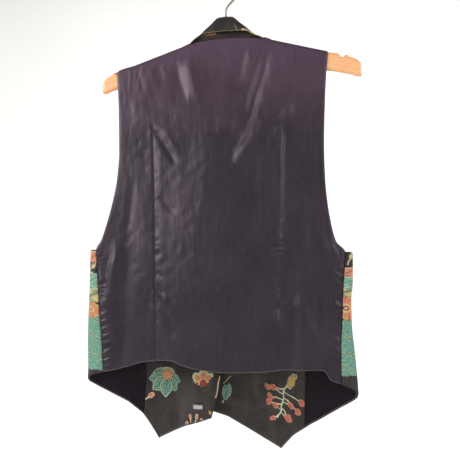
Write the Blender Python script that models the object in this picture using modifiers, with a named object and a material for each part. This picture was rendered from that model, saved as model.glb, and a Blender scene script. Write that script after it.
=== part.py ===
"""A waistcoat hanging on a wooden hanger, seen in the photo from behind.

Metres, +Z up. The origin is the underside of the hook's top, where a rail would carry it.
The satin back faces -Y, the brocade fronts face +Y, and -X is the wearer's left.
Each piece that a maker would cut is one thin wall with the shape that it has on the hanger.
"""
import math
from collections import namedtuple

import bmesh
import bpy
from mathutils import Vector

# Walls of cloth, and the gaps that part two pieces
SATIN_WALL = 0.0012
BROCADE_WALL = 0.0014
FACING_WALL = 0.0010
SEAM_GAP = 0.0006
LAYER_GAP = 0.0005

# Hanger board: a flat wooden board whose two arms slope down to rounded ends
BOARD_THICKNESS = 0.012
BOARD_HEIGHT = 0.0285
BOARD_CREST_Z = -0.0857
BOARD_HALF_LENGTH = 0.2205
BOARD_EDGE_ROUND = 0.0055
ARM_SLOPE = 0.292
ARM_LEAN = 0.012
ARM_END_RISE = 0.002
ARM_END_START = 0.160
ARM_END_FULL = 0.182
NOTCH_X = 0.189
NOTCH_RADIUS = 0.0042

# Hook: one bent wire, its shank let into the board
WIRE_RADIUS = 0.0017
HOOK_RADIUS = 0.0200
HOOK_TIP_ANGLE = 205.0
HOOK_JOG_ANGLE = -45.0
SHANK_DEPTH = 0.014
SHANK_CLEARANCE = 0.0003

# Cloth over the board: the outer face runs round the board's top at this radius
BOARD_CLEARANCE = 0.0010
DRAPE_RADIUS = BOARD_THICKNESS / 2 + BOARD_CLEARANCE + SATIN_WALL
RIDGE_RISE = BOARD_CLEARANCE + SATIN_WALL
SHOULDER_SEAM_Y = 0.0018

# Heights of the garment's landmarks
UNDERARM_Z = -0.4515
NECK_X = 0.0625
NECK_BACK_Z = -0.0992
NECK_POINT_Z = -0.1030
CLOSURE_LAP = 0.0042

# Back outline: the seam or armhole edge on each side, and the line of each long dart
BackEdge = namedtuple("BackEdge", "z left dart_left dart_right right")
BACK_EDGES = (
    BackEdge(-0.670, -0.2172, -0.1175, 0.0905, 0.1888),
    BackEdge(-0.606, -0.2200, -0.1180, 0.0910, 0.1876),
    BackEdge(-0.554, -0.2240, -0.1185, 0.0925, 0.1896),
    BackEdge(-0.500, -0.2272, -0.1192, 0.0938, 0.1915),
    BackEdge(-0.4515, -0.2300, -0.1198, 0.0946, 0.1944),
    BackEdge(-0.434, -0.2206, -0.1202, 0.0948, 0.1800),
    BackEdge(-0.400, -0.2087, -0.1210, 0.0952, 0.1710),
    BackEdge(-0.366, -0.1990, -0.1220, 0.0955, 0.1658),
    BackEdge(-0.331, -0.1917, -0.1230, 0.0960, 0.1627),
    BackEdge(-0.280, -0.1872, -0.1250, 0.0966, 0.1612),
    BackEdge(-0.211, -0.1880, -0.1262, 0.0975, 0.1626),
    BackEdge(-0.160, -0.1905, -0.1262, 0.0980, 0.1652),
    BackEdge(-0.128, -0.1922, -0.1262, 0.0980, 0.1680),
)

# Side folds: where the fronts turn round to the side seams on the back
SideFold = namedtuple("SideFold", "z left right")
SIDE_FOLDS = (
    SideFold(-0.690, -0.2515, 0.2160),
    SideFold(-0.660, -0.2497, 0.2140),
    SideFold(-0.611, -0.2502, 0.2095),
    SideFold(-0.565, -0.2483, 0.2048),
    SideFold(-0.528, -0.2468, 0.2040),
    SideFold(-0.496, -0.2458, 0.2064),
    SideFold(-0.4515, -0.2437, 0.2063),
)

# Front edges by height: armhole edge on the front, and the centre front edge with the neckline
FrontEdge = namedtuple("FrontEdge", "z left_armhole left_centre right_centre right_armhole")
FRONT_EDGES = (
    FrontEdge(-0.790, -0.2200, -0.0400, -0.0500, 0.1930),
    FrontEdge(-0.745, -0.2200, -0.0300, -0.0480, 0.1930),
    FrontEdge(-0.663, -0.2200, -0.0110, -0.0430, 0.1930),
    FrontEdge(-0.600, -0.2200, -0.0080, -0.0380, 0.1930),
    FrontEdge(-0.500, -0.2230, -0.0080, -0.0350, 0.1910),
    FrontEdge(-0.4515, -0.2230, -0.0080, -0.0340, 0.1890),
    FrontEdge(-0.441, -0.2090, -0.0080, -0.0340, 0.1755),
    FrontEdge(-0.422, -0.1935, -0.0080, -0.0340, 0.1615),
    FrontEdge(-0.385, -0.1800, -0.0080, -0.0340, 0.1500),
    FrontEdge(-0.340, -0.1725, -0.0167, -0.0187, 0.1440),
    FrontEdge(-0.270, -0.1715, -0.0302, 0.0052, 0.1430),
    FrontEdge(-0.200, -0.1790, -0.0437, 0.0290, 0.1515),
    FrontEdge(-0.150, -0.1880, -0.0533, 0.0461, 0.1630),
    FrontEdge(-0.100, -0.1925, -0.0630, 0.0630, 0.1690),
)

# Hems by distance across, seen from behind
HemPoint = namedtuple("HemPoint", "x z")
BACK_HEM = (
    HemPoint(-0.2190, -0.6640),
    HemPoint(-0.1890, -0.6570),
    HemPoint(-0.1620, -0.6480),
    HemPoint(-0.1370, -0.6401),
    HemPoint(-0.0890, -0.6345),
    HemPoint(-0.0730, -0.6400),
    HemPoint(-0.0300, -0.6465),
    HemPoint(0.0050, -0.6480),
    HemPoint(0.0530, -0.6455),
    HemPoint(0.0850, -0.6432),
    HemPoint(0.1500, -0.6412),
    HemPoint(0.1630, -0.6430),
    HemPoint(0.1710, -0.6560),
    HemPoint(0.1890, -0.6615),
)

# Front hems: -1 to 0 goes round the side fold from the seam, 0 to 1 across to the centre front edge
FrontHem = namedtuple("FrontHem", "across z")
LEFT_HEM = (
    FrontHem(-1.00, -0.6640),
    FrontHem(-0.75, -0.6715),
    FrontHem(-0.50, -0.6805),
    FrontHem(-0.25, -0.6900),
    FrontHem(0.00, -0.7020),
    FrontHem(0.18, -0.7205),
    FrontHem(0.32, -0.7420),
    FrontHem(6 / 12, -0.7860),
    FrontHem(0.76, -0.7588),
    FrontHem(0.90, -0.7467),
    FrontHem(1.00, -0.7385),
)
RIGHT_HEM = (
    FrontHem(-1.00, -0.6615),
    FrontHem(-0.75, -0.6690),
    FrontHem(-0.50, -0.6790),
    FrontHem(-0.25, -0.6900),
    FrontHem(0.00, -0.7030),
    FrontHem(0.21, -0.7385),
    FrontHem(0.33, -0.7610),
    FrontHem(5 / 12, -0.7874),
    FrontHem(0.56, -0.7720),
    FrontHem(0.73, -0.7530),
    FrontHem(0.82, -0.7420),
    FrontHem(0.92, -0.7360),
    FrontHem(1.00, -0.7320),
)

# How far the cloth stands out from the board's plane at each height
Bow = namedtuple("Bow", "z back front left_curl")
BOWS = (
    Bow(-0.790, 0.0215, 0.0330, 0.0250),
    Bow(-0.700, 0.0210, 0.0300, 0.0170),
    Bow(-0.650, 0.0205, 0.0265, 0.0070),
    Bow(-0.615, 0.0200, 0.0240, 0.0000),
    Bow(-0.560, 0.0190, 0.0200, 0.0000),
    Bow(-0.450, 0.0150, 0.0145, 0.0000),
    Bow(-0.330, 0.0095, 0.0090, 0.0000),
    Bow(-0.220, 0.0040, 0.0040, 0.0000),
    Bow(-0.140, 0.0000, 0.0000, 0.0000),
    Bow(-0.060, 0.0000, 0.0000, 0.0000),
)

# Largest folds: a soft ridge (+) or trough (-) along a line from its top to its foot
Fold = namedtuple("Fold", "top_x top_z foot_x foot_z half_width height")
BACK_FOLDS = (
    Fold(0.030, -0.130, 0.012, -0.180, 0.011, -0.0030),
    Fold(0.068, -0.145, 0.006, -0.300, 0.013, -0.0042),
    Fold(0.100, -0.210, 0.020, -0.300, 0.016, 0.0050),
    Fold(-0.066, -0.135, -0.052, -0.190, 0.011, 0.0028),
    Fold(-0.084, -0.140, -0.078, -0.200, 0.012, -0.0028),
    Fold(-0.194, -0.450, -0.214, -0.580, 0.014, 0.0052),
    Fold(-0.170, -0.430, -0.184, -0.640, 0.016, -0.0048),
    Fold(0.118, -0.490, 0.104, -0.650, 0.014, -0.0055),
    Fold(0.086, -0.560, 0.060, -0.650, 0.018, 0.0040),
    Fold(0.150, -0.500, 0.168, -0.665, 0.013, -0.0060),
    Fold(0.172, -0.420, 0.183, -0.560, 0.011, 0.0034),
    Fold(0.050, -0.450, 0.015, -0.540, 0.022, 0.0030),
    Fold(-0.020, -0.260, -0.060, -0.560, 0.030, 0.0026),
)
FRONT_FOLDS = (
    Fold(-0.150, -0.420, -0.130, -0.700, 0.020, -0.0040),
    Fold(-0.080, -0.560, -0.095, -0.780, 0.016, 0.0036),
    Fold(0.120, -0.420, 0.105, -0.720, 0.022, -0.0040),
    Fold(0.060, -0.520, 0.040, -0.740, 0.022, 0.0034),
)
DART_TOP_Z = -0.245
DART_DEPTH = 0.0014
DART_HALF_WIDTH = 0.008

# Neck seam: it leaves the back of the board and climbs over the ridge between these distances
NECK_CLIMB_X = 0.0400
STAND_SEAM_GAP = 0.0010

# Collar over the back neck, from its middle to a shoulder. The roll line stands up round the hook
# like a tent; the fall hangs behind it and turns round to the front at the shoulder.
CollarStation = namedtuple("CollarStation", "x lean height turn reach drop round")
COLLAR_STATIONS = (
    CollarStation(0.0000, -0.0008, 0.0357, 0, 0.0050, 0.0265, 0.0021),
    CollarStation(0.0110, -0.0008, 0.0351, 0, 0.0050, 0.0258, 0.0021),
    CollarStation(0.0250, -0.0004, 0.0246, 6, 0.0050, 0.0158, 0.0021),
    CollarStation(0.0370, 0.0000, 0.0155, 22, 0.0056, 0.0074, 0.0019),
    CollarStation(0.0450, 0.0004, 0.0085, 50, 0.0080, 0.0045, 0.0017),
    CollarStation(0.0500, 0.0006, 0.0038, 74, 0.0095, 0.0046, 0.0015),
    CollarStation(0.0530, 0.0008, 0.0034, 88, 0.0105, 0.0048, 0.0014),
)
COLLAR_END_RUN = -0.0010

# Lapels: from the shoulder down the neckline, each a strip of this width outside the roll line
Lapel = namedtuple("Lapel", "share width")
LAPEL_WIDTHS = (
    Lapel(0.00, 0.016),
    Lapel(0.14, 0.030),
    Lapel(0.32, 0.041),
    Lapel(0.50, 0.044),
    Lapel(0.70, 0.036),
    Lapel(0.88, 0.018),
    Lapel(1.00, 0.004),
)
LAPEL_OVERHANG = 0.0030
LAPEL_FOOT_OVERHANG = 0.0006
LAPEL_GAP = 0.0004
LAPEL_LIFT = 0.0012
LEFT_LAPEL_FOOT_ROW = 14.3
RIGHT_LAPEL_FOOT_ROW = 13

# Buttons that close the wearer's right front over the left
BUTTON_RADIUS = 0.0075
BUTTON_TOP_Z = -0.402
BUTTON_PITCH = 0.0725
BUTTON_COUNT = 4
BUTTON_INSET = 0.0135

# Woven size label on the left facing
LABEL_X = -0.0514
LABEL_Z = -0.7207
LABEL_WIDTH = 0.0190
LABEL_HEIGHT = 0.0100
LABEL_WALL = 0.0006
LABEL_TILT = 0.08

# How finely the cloth is divided
LOWER_ROWS = 10
UPPER_ROWS = 15
BACK_TOP_RUNS = (0.066, 0.036, 0.022, DRAPE_RADIUS * math.pi / 2, 0.0088, 0.0044, 0.0)
FRONT_TOP_RUNS = (0.070, 0.040, 0.022, DRAPE_RADIUS * math.pi / 2, 0.0088, 0.0050, 0.0018, SEAM_GAP / 2)
BACK_COLUMNS = (5, 4, 3, 5, 3, 3, 4)
FOLD_COLUMNS = 6
UNDERARM_CROWDING = 1.4
LINING_COLUMNS = {"left": 4, "right": 3}
FACING_COLUMNS = {"left": 8, "right": 9}
COLLAR_STEPS = 24
LAPEL_COLUMNS = 3

SATIN = ("aubergine_satin", (0.050, 0.032, 0.055), 0.34, 0.0)
BROCADE = ("floral_brocade", (0.018, 0.016, 0.015), 0.62, 0.0)
WOOD = ("varnished_beech", (0.640, 0.310, 0.130), 0.42, 0.0)
STEEL = ("bright_wire", (0.550, 0.560, 0.570), 0.28, 1.0)
BUTTON = ("dark_button", (0.020, 0.017, 0.016), 0.30, 0.0)
LABEL = ("woven_label", (0.060, 0.058, 0.060), 0.70, 0.0)


def ease(low, high, value):
    """0 below low, 1 above high, and a smooth step between them."""
    share = min(1.0, max(0.0, (value - low) / (high - low)))
    return share * share * (3 - 2 * share)


def mix(a, b, share):
    """The value or point that lies this share of the way from a to b."""
    return a + (b - a) * share


def read(table, key, value, column):
    """One column of a table at any key, on a smooth curve through the rows."""
    keys = [getattr(row, key) for row in table]
    values = [getattr(row, column) for row in table]
    if keys[0] > keys[-1]:
        keys.reverse()
        values.reverse()
    value = min(keys[-1], max(keys[0], value))
    i = max(n for n in range(len(keys) - 1) if keys[n] <= value)
    slopes = [(values[n + 1] - values[n]) / (keys[n + 1] - keys[n]) for n in range(len(keys) - 1)]

    def tangent(n):
        """Slope at a row: none at a peak, so that the curve never overshoots."""
        if n == 0:
            return slopes[0]
        if n == len(slopes):
            return slopes[-1]
        before, after = slopes[n - 1], slopes[n]
        return 0.0 if before * after <= 0 else 2 * before * after / (before + after)

    width = keys[i + 1] - keys[i]
    t = (value - keys[i]) / width
    start, end = values[i], values[i + 1]
    return (
        (1 + 2 * t) * (1 - t) ** 2 * start
        + t * (1 - t) ** 2 * width * tangent(i)
        + t * t * (3 - 2 * t) * end
        + t * t * (t - 1) * width * tangent(i + 1)
    )


def read_straight(table, key, value, column):
    """One column of a table at any key, on straight lines, which keeps a sharp point."""
    rows = sorted(table, key=lambda row: getattr(row, key))
    value = min(getattr(rows[-1], key), max(getattr(rows[0], key), value))
    for low, high in zip(rows, rows[1:]):
        if value <= getattr(high, key):
            break
    share = (value - getattr(low, key)) / (getattr(high, key) - getattr(low, key))
    return mix(getattr(low, column), getattr(high, column), share)


def board_top(x):
    """Top edge of the hanger board, without its notches."""
    rise = ARM_END_RISE * ease(ARM_END_START, ARM_END_FULL, abs(x))
    return BOARD_CREST_Z - ARM_SLOPE * abs(x) + ARM_LEAN * x + rise


def ridge(x):
    """Outer face of the cloth where it lies on the board's top edge."""
    return board_top(x) + RIDGE_RISE


def neck_z(x):
    """Height of the back neck seam between the two neck points."""
    return mix(NECK_BACK_Z, NECK_POINT_Z, (x / NECK_X) ** 2)


def neck_run(x):
    """How far down from the ridge the neck seam lies; past the neck point it is the shoulder seam."""
    over = -(SHOULDER_SEAM_Y - SEAM_GAP / 2)
    start = run_at(math.copysign(min(abs(x), NECK_CLIMB_X), x), neck_z(min(abs(x), NECK_CLIMB_X)))
    return mix(start, over, ease(NECK_CLIMB_X, NECK_X, abs(x)))


def settle_x(table, column, run_of):
    """x where an outline, which is read by height, meets a row of cloth that lies at run_of(x)."""
    x = getattr(table[len(table) // 2], column)
    for _ in range(6):
        x = read(table, "z", over_board(x, run_of(x))[1], column)
    return x


def folds_at(folds, x, z):
    """Sum of the folds at a place: each is a soft bump across its line, faded at both ends."""
    total = 0.0
    for fold in folds:
        along = Vector((fold.foot_x - fold.top_x, fold.foot_z - fold.top_z))
        place = Vector((x - fold.top_x, z - fold.top_z))
        share = place.dot(along) / along.length_squared
        across = (place - along * share).length / fold.half_width
        fade = ease(-0.18, 0.22, share) * (1 - ease(0.80, 1.20, share))
        total += fold.height * fade * math.exp(-across * across)
    return total


def over_board(x, run):
    """(depth, height) of cloth that starts at the ridge and runs down one side of the board."""
    quarter = DRAPE_RADIUS * math.pi / 2
    if run < 0:
        return run, ridge(x)
    if run < quarter:
        angle = run / DRAPE_RADIUS
        return DRAPE_RADIUS * math.sin(angle), ridge(x) - DRAPE_RADIUS * (1 - math.cos(angle))
    return DRAPE_RADIUS, ridge(x) - DRAPE_RADIUS - (run - quarter)


def run_at(x, z):
    """How far down the cloth from the ridge the height z lies."""
    drop = ridge(x) - z
    if drop < DRAPE_RADIUS:
        return DRAPE_RADIUS * math.acos(max(-1.0, 1 - drop / DRAPE_RADIUS))
    return DRAPE_RADIUS * math.pi / 2 + drop - DRAPE_RADIUS


def back_bow(x, z):
    """How far the back stands out beyond the board's plane, with its folds and darts."""
    left = read(BACK_EDGES, "z", z, "left")
    right = read(BACK_EDGES, "z", z, "right")
    across = (2 * x - left - right) / (right - left)
    bow = read(BOWS, "z", z, "back") * (0.5 + 0.5 * math.cos(math.pi * min(1.0, abs(across))))
    edge_fade = 1 - ease(0.80, 1.0, abs(across))
    for column in ("dart_left", "dart_right"):
        beside = (x - read(BACK_EDGES, "z", z, column)) / DART_HALF_WIDTH
        depth = DART_DEPTH * (1 - ease(DART_TOP_Z - 0.02, DART_TOP_Z + 0.01, z))
        bow -= depth * math.exp(-beside * beside)
    return bow + folds_at(BACK_FOLDS, x, z) * mix(0.45, 1.0, edge_fade)


def back_point(x, run):
    """A point of the back's outer face, a given run of cloth down from the ridge."""
    depth, z = over_board(x, run)
    settled = ease(DRAPE_RADIUS, 0.050, run)
    return Vector((x, -depth - back_bow(x, z) * settled, z))


def front_bow(side, x, z):
    """How far a front stands out beyond the board's plane."""
    left = read(SIDE_FOLDS, "z", max(z, -0.69), "left")
    right = read(SIDE_FOLDS, "z", max(z, -0.69), "right")
    across = (2 * x - left - right) / (right - left)
    bow = read(BOWS, "z", z, "front") * (0.5 + 0.5 * math.cos(math.pi * min(1.0, abs(across)) ** 1.4))
    bow += folds_at(FRONT_FOLDS, x, z) * (1 - ease(0.72, 0.95, abs(across)))
    if side == "left":
        bow -= read(BOWS, "z", z, "left_curl") * ease(-0.150, -0.040, x)
        bow -= CLOSURE_LAP * ease(-0.080, -0.048, x) * (1 - ease(-0.330, -0.270, z))
    return bow


def front_point(side, x, run):
    """A point of a front's outer face, a given run of cloth down from the ridge."""
    depth, z = over_board(x, run)
    settled = ease(DRAPE_RADIUS, 0.050, run)
    return Vector((x, SHOULDER_SEAM_Y + depth + front_bow(side, x, z) * settled, z))


def front_y(side, x, z):
    """Outer face of a front at a place, in front of the board."""
    return front_point(side, x, run_at(x, z)).y


def seam_x(side, z):
    """Line of the side seam, which lies on the back."""
    return read(BACK_EDGES, "z", min(z, UNDERARM_Z), side)


def fold_point(side, z, turn):
    """A point of the side fold: turn runs from 0 at the side seam to 1 on the front."""
    seam = seam_x(side, z)
    tip = read(SIDE_FOLDS, "z", z, side)
    start_y = back_point(seam, run_at(seam, z)).y
    end_y = front_y(side, seam, z)
    angle = math.pi * turn
    x = mix(seam, tip, math.sin(angle))
    return Vector((x, mix(start_y, end_y, (1 - math.cos(angle)) / 2), z))


def back_grid():
    """Outer points of the back, row by row from hem to shoulder and neck."""
    levels = UPPER_ROWS - len(BACK_TOP_RUNS) + 1
    rows = []
    for row in range(LOWER_ROWS + UPPER_ROWS + 1):
        lower = row <= LOWER_ROWS
        step = row - LOWER_ROWS

        def run_of(x):
            """How far down from the ridge this row lies at x."""
            if lower:
                return run_at(x, mix(read(BACK_HEM, "x", x, "z"), UNDERARM_Z, row / LOWER_ROWS))
            if step < levels:
                share = (step / levels) ** UNDERARM_CROWDING
                return mix(run_at(x, UNDERARM_Z), neck_run(x) + BACK_TOP_RUNS[0], share)
            return neck_run(x) + BACK_TOP_RUNS[step - levels]

        names = ("left", "dart_left", "dart_right", "right")
        left, dart_left, dart_right, right = (settle_x(BACK_EDGES, name, run_of) for name in names)
        if lower:
            left += SEAM_GAP / 2
            right -= SEAM_GAP / 2
        keys = (left, dart_left, -NECK_X, -NECK_CLIMB_X, NECK_CLIMB_X, NECK_X, dart_right, right)
        xs = [left]
        for start, end, count in zip(keys, keys[1:], BACK_COLUMNS):
            xs += [mix(start, end, (n + 1) / count) for n in range(count)]
        rows.append([back_point(x, run_of(x)) for x in xs])
    return rows


def front_grid(side, hem):
    """Outer points of a front, from its side seam round the fold to the centre front edge.

    Above the underarm the columns of the fold are left out, so the armhole runs along their top.
    """
    levels = UPPER_ROWS - len(FRONT_TOP_RUNS) + 1
    flat_columns = LINING_COLUMNS[side] + FACING_COLUMNS[side]
    rows = []
    for row in range(LOWER_ROWS + 1):
        points = []
        for column in range(-FOLD_COLUMNS, flat_columns + 1):
            across = column / (FOLD_COLUMNS if column < 0 else flat_columns)
            z = mix(read_straight(hem, "across", across, "z"), UNDERARM_Z, row / LOWER_ROWS)
            if column <= 0:
                points.append(fold_point(side, z, 1 + across))
                continue
            x = mix(seam_x(side, z), read(FRONT_EDGES, "z", z, side + "_centre"), across)
            points.append(Vector((x, front_y(side, x, z), z)))
        points[0].x += SEAM_GAP / 2 * (-1 if side == "left" else 1)
        rows.append(points)
    for step in range(1, UPPER_ROWS + 1):

        def run_of(x):
            """How far down from the ridge this row lies at x."""
            if step < levels:
                share = (step / levels) ** UNDERARM_CROWDING
                return mix(run_at(x, UNDERARM_Z), FRONT_TOP_RUNS[0], share)
            return FRONT_TOP_RUNS[step - levels]

        edge = settle_x(FRONT_EDGES, side + "_armhole", run_of)
        centre = settle_x(FRONT_EDGES, side + "_centre", run_of)
        points = [None] * FOLD_COLUMNS
        for column in range(flat_columns + 1):
            x = mix(edge, centre, column / flat_columns)
            points.append(front_point(side, x, run_of(x)))
        rows.append(points)
    return rows


def near(grid, row, column):
    """The grid's point there, or None outside it."""
    if 0 <= row < len(grid) and 0 <= column < len(grid[row]):
        return grid[row][column]
    return None


def moved_out(grid, distance):
    """Every point of a grid moved along its own normal; a negative distance moves it the other way."""
    rows = []
    for row, points in enumerate(grid):
        moved = []
        for column, point in enumerate(points):
            if point is None:
                moved.append(None)
                continue
            normal = Vector()
            ring = [near(grid, row, column + 1), near(grid, row + 1, column)]
            ring += [near(grid, row, column - 1), near(grid, row - 1, column)]
            for a, b in zip(ring, ring[1:] + ring[:1]):
                if a is not None and b is not None:
                    normal += (a - point).cross(b - point).normalized()
            moved.append(point + normal.normalized() * distance)
        rows.append(moved)
    return rows


def inset(grid, left, right, bottom, top):
    """A grid whose four edges are drawn in by these distances, also where it steps."""
    rows = []
    for row, points in enumerate(grid):
        drawn = []
        for column, point in enumerate(points):
            if point is None:
                drawn.append(None)
                continue
            shift = Vector()
            for d_row, d_column, distance in ((0, -1, left), (0, 1, right), (-1, 0, bottom), (1, 0, top)):
                inner = near(grid, row - d_row, column - d_column)
                if near(grid, row + d_row, column + d_column) is None and inner is not None:
                    shift += (inner - point).normalized() * distance
            drawn.append(point + shift)
        rows.append(drawn)
    return rows


def new_object(name, mesh, finish):
    """A mesh object with its own material, in the waistcoat's collection."""
    slot, colour, roughness, metallic = finish
    material = bpy.data.materials.new(f"{slot}_{name}")
    material.use_nodes = True
    shader = material.node_tree.nodes["Principled BSDF"]
    shader.inputs["Base Color"].default_value = (*colour, 1.0)
    shader.inputs["Roughness"].default_value = roughness
    shader.inputs["Metallic"].default_value = metallic
    material.diffuse_color = (*colour, 1.0)
    mesh.materials.append(material)
    thing = bpy.data.objects.new(name, mesh)
    bpy.data.collections["waistcoat_on_hanger"].objects.link(thing)
    return thing


def cloth(name, grid, wall, finish, outward):
    """A wall of cloth on a grid of outer points. outward is 1 where the grid's normals face out."""
    shape = bmesh.new()
    verts = [[shape.verts.new(p) if p is not None else None for p in points] for points in grid]
    for low, high in zip(verts, verts[1:]):
        for a, b, c, d in zip(low, low[1:], high[1:], high):
            if None in (a, b, c, d):
                continue
            short = (b.co - d.co).length < 0.97 * (a.co - c.co).length
            for corners in ((a, b, d), (b, c, d)) if short else ((a, b, c), (a, c, d)):
                shape.faces.new(corners if outward > 0 else corners[::-1])
    loose = [v for v in shape.verts if not v.link_faces]
    bmesh.ops.delete(shape, geom=loose, context="VERTS")
    mesh = bpy.data.meshes.new(name)
    shape.to_mesh(mesh)
    shape.free()
    mesh.shade_smooth()
    thing = new_object(name, mesh, finish)
    solidify = thing.modifiers.new("wall", "SOLIDIFY")
    solidify.thickness = wall
    solidify.offset = -1.0
    solidify.use_even_offset = True
    solidify.use_quality_normals = True
    return thing


def make_fronts():
    """Both fronts with their lapels, and on the inside of each its facing and its lining."""
    plans = (
        ("left", LEFT_HEM, -1, LEFT_LAPEL_FOOT_ROW),
        ("right", RIGHT_HEM, 1, RIGHT_LAPEL_FOOT_ROW),
    )
    for side, hem, outward, foot_row in plans:
        outer = front_grid(side, hem)
        make_lapel(side, outer, foot_row, outward)
        cloth(f"front_{side}", outer, BROCADE_WALL, BROCADE, outward)
        inner = moved_out(outer, -outward * (BROCADE_WALL + LAYER_GAP))
        inner = inner[:-3]
        split = FOLD_COLUMNS + LINING_COLUMNS[side]
        lining = [points[: split + 1] for points in inner]
        facing = [points[split:] for points in inner]
        half = SEAM_GAP / 2
        cloth(f"lining_{side}", inset(lining, 0.0015, half, 0.0020, 0.0015), FACING_WALL, SATIN, outward)
        cloth(f"facing_{side}", inset(facing, half, 0.0012, 0.0020, 0.0), FACING_WALL, BROCADE, outward)


def collar_section(x):
    """Points of the collar across its width: up the stand, over the roll and down the fall."""
    at = CollarStation(*(read(COLLAR_STATIONS, "x", abs(x), name) for name in CollarStation._fields))
    turn = math.radians(at.turn)
    out = Vector((math.copysign(math.sin(turn), x), -math.cos(turn), 0.0))
    up = Vector((0, 0, 1))
    climb = ease(NECK_CLIMB_X, COLLAR_STATIONS[-1].x, abs(x))
    foot_x = math.copysign(min(abs(x), NECK_CLIMB_X), x)
    depth, z = over_board(x, mix(neck_run(foot_x), COLLAR_END_RUN, climb))
    neck = Vector((x, -depth, z + STAND_SEAM_GAP)) - out * SATIN_WALL
    roll = neck + out * at.lean + up * at.height
    inner = roll - (out + up) * at.round
    outer = roll + (out - up) * at.round
    edge = roll + out * (at.round + at.reach) - up * at.drop
    return [
        neck,
        mix(neck, inner, 0.5),
        inner,
        roll - out * at.round * 0.5 - up * at.round * 0.16,
        roll + out * at.round * 0.5 - up * at.round * 0.16,
        outer,
        mix(outer, edge, 0.5) + out * 0.0006,
        edge,
    ]


def make_collar():
    """The collar round the back neck, from one shoulder seam to the other."""
    end = COLLAR_STATIONS[-1].x
    sections = [collar_section(mix(-end, end, n / COLLAR_STEPS)) for n in range(COLLAR_STEPS + 1)]
    cloth("collar", [list(row) for row in zip(*sections)], SATIN_WALL, BROCADE, -1)


def from_edge(points, distance):
    """The point this far along a row of cloth from its last point, the centre front edge."""
    for end, start in zip(points[:0:-1], points[-2::-1]):
        step = (start - end).length
        if distance <= step:
            return mix(end, start, distance / step)
        distance -= step
    return points[0]


def between_rows(grid, row):
    """A row of a grid, or a place part of the way to the next row."""
    low = int(row)
    if row == low:
        return grid[low]
    return [None if a is None else mix(a, b, row - low) for a, b in zip(grid[low], grid[low + 1])]


def make_lapel(side, panel, foot_row, outward):
    """A lapel that lies on the outside of a front, made from the front's own rows."""
    flat = moved_out(panel, outward * (BROCADE_WALL + LAPEL_GAP))
    raised = moved_out(panel, outward * (BROCADE_WALL + LAPEL_GAP + LAPEL_LIFT))
    foot_z = between_rows(panel, foot_row)[-1].z
    top_z = panel[-1][-1].z
    grid = []
    for row in [foot_row] + list(range(int(foot_row) + 1, len(panel))):
        low, high = between_rows(flat, row), between_rows(raised, row)
        share = (top_z - low[-1].z) / (top_z - foot_z)
        width = read(LAPEL_WIDTHS, "share", min(1.0, max(0.0, share)), "width")
        overhang = mix(LAPEL_OVERHANG, LAPEL_FOOT_OVERHANG, ease(0.0, 0.25, share))
        points = []
        for column in range(LAPEL_COLUMNS + 1):
            out = 1 - column / LAPEL_COLUMNS
            distance = width * out - overhang
            bulge = 1 - abs(2 * out - 0.8) / 1.2
            points.append(mix(from_edge(low, distance), from_edge(high, distance), bulge))
        grid.append(points)
    cloth(f"lapel_{side}", grid, BROCADE_WALL, BROCADE, outward)


def make_buttons():
    """Turned buttons with a sunk middle; each stands just clear of the cloth that it closes."""
    radius = BUTTON_RADIUS
    profile = (
        (0.0, 0.0030),
        (radius * 0.55, 0.0030),
        (radius * 0.78, 0.0038),
        (radius, 0.0030),
        (radius, 0.0012),
        (radius * 0.80, 0.0),
        (0.0, 0.0),
    )
    shape = bmesh.new()
    verts = [shape.verts.new((r, 0.0, h)) for r, h in profile]
    for a, b in zip(verts, verts[1:]):
        shape.edges.new((a, b))
    mesh = bpy.data.meshes.new("button")
    shape.to_mesh(mesh)
    shape.free()
    for n in range(BUTTON_COUNT):
        z = BUTTON_TOP_Z - BUTTON_PITCH * n
        x = read(FRONT_EDGES, "z", z, "right_centre") + BUTTON_INSET
        button = new_object(f"button_{n + 1}", mesh.copy(), BUTTON)
        spin = button.modifiers.new("turn", "SCREW")
        spin.steps = 14
        spin.render_steps = 14
        spin.use_merge_vertices = True
        spin.merge_threshold = 0.00005
        here = front_y("right", x, z)
        lean = (front_y("right", x, z + 0.004) - here) / 0.004
        yaw = (front_y("right", x + 0.004, z) - here) / 0.004
        normal = Vector((-yaw, 1.0, -lean)).normalized()
        button.rotation_mode = "QUATERNION"
        button.rotation_quaternion = normal.to_track_quat("Z", "Y")
        button.location = Vector((x, here, z)) + normal * 0.0007


def make_label():
    """A small woven label sewn on the left facing."""
    depth = BROCADE_WALL + LAYER_GAP + FACING_WALL + LAYER_GAP + LABEL_WALL
    grid = []
    for row in (-0.5, 0.0, 0.5):
        points = []
        for column in (-0.5, -0.17, 0.17, 0.5):
            x = LABEL_X + LABEL_WIDTH * column
            z = LABEL_Z + LABEL_HEIGHT * row + LABEL_WIDTH * column * LABEL_TILT
            points.append(Vector((x, front_y("left", x, z), z)))
        grid.append(points)
    cloth("size_label", moved_out(grid, depth), LABEL_WALL, LABEL, 1)


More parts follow.
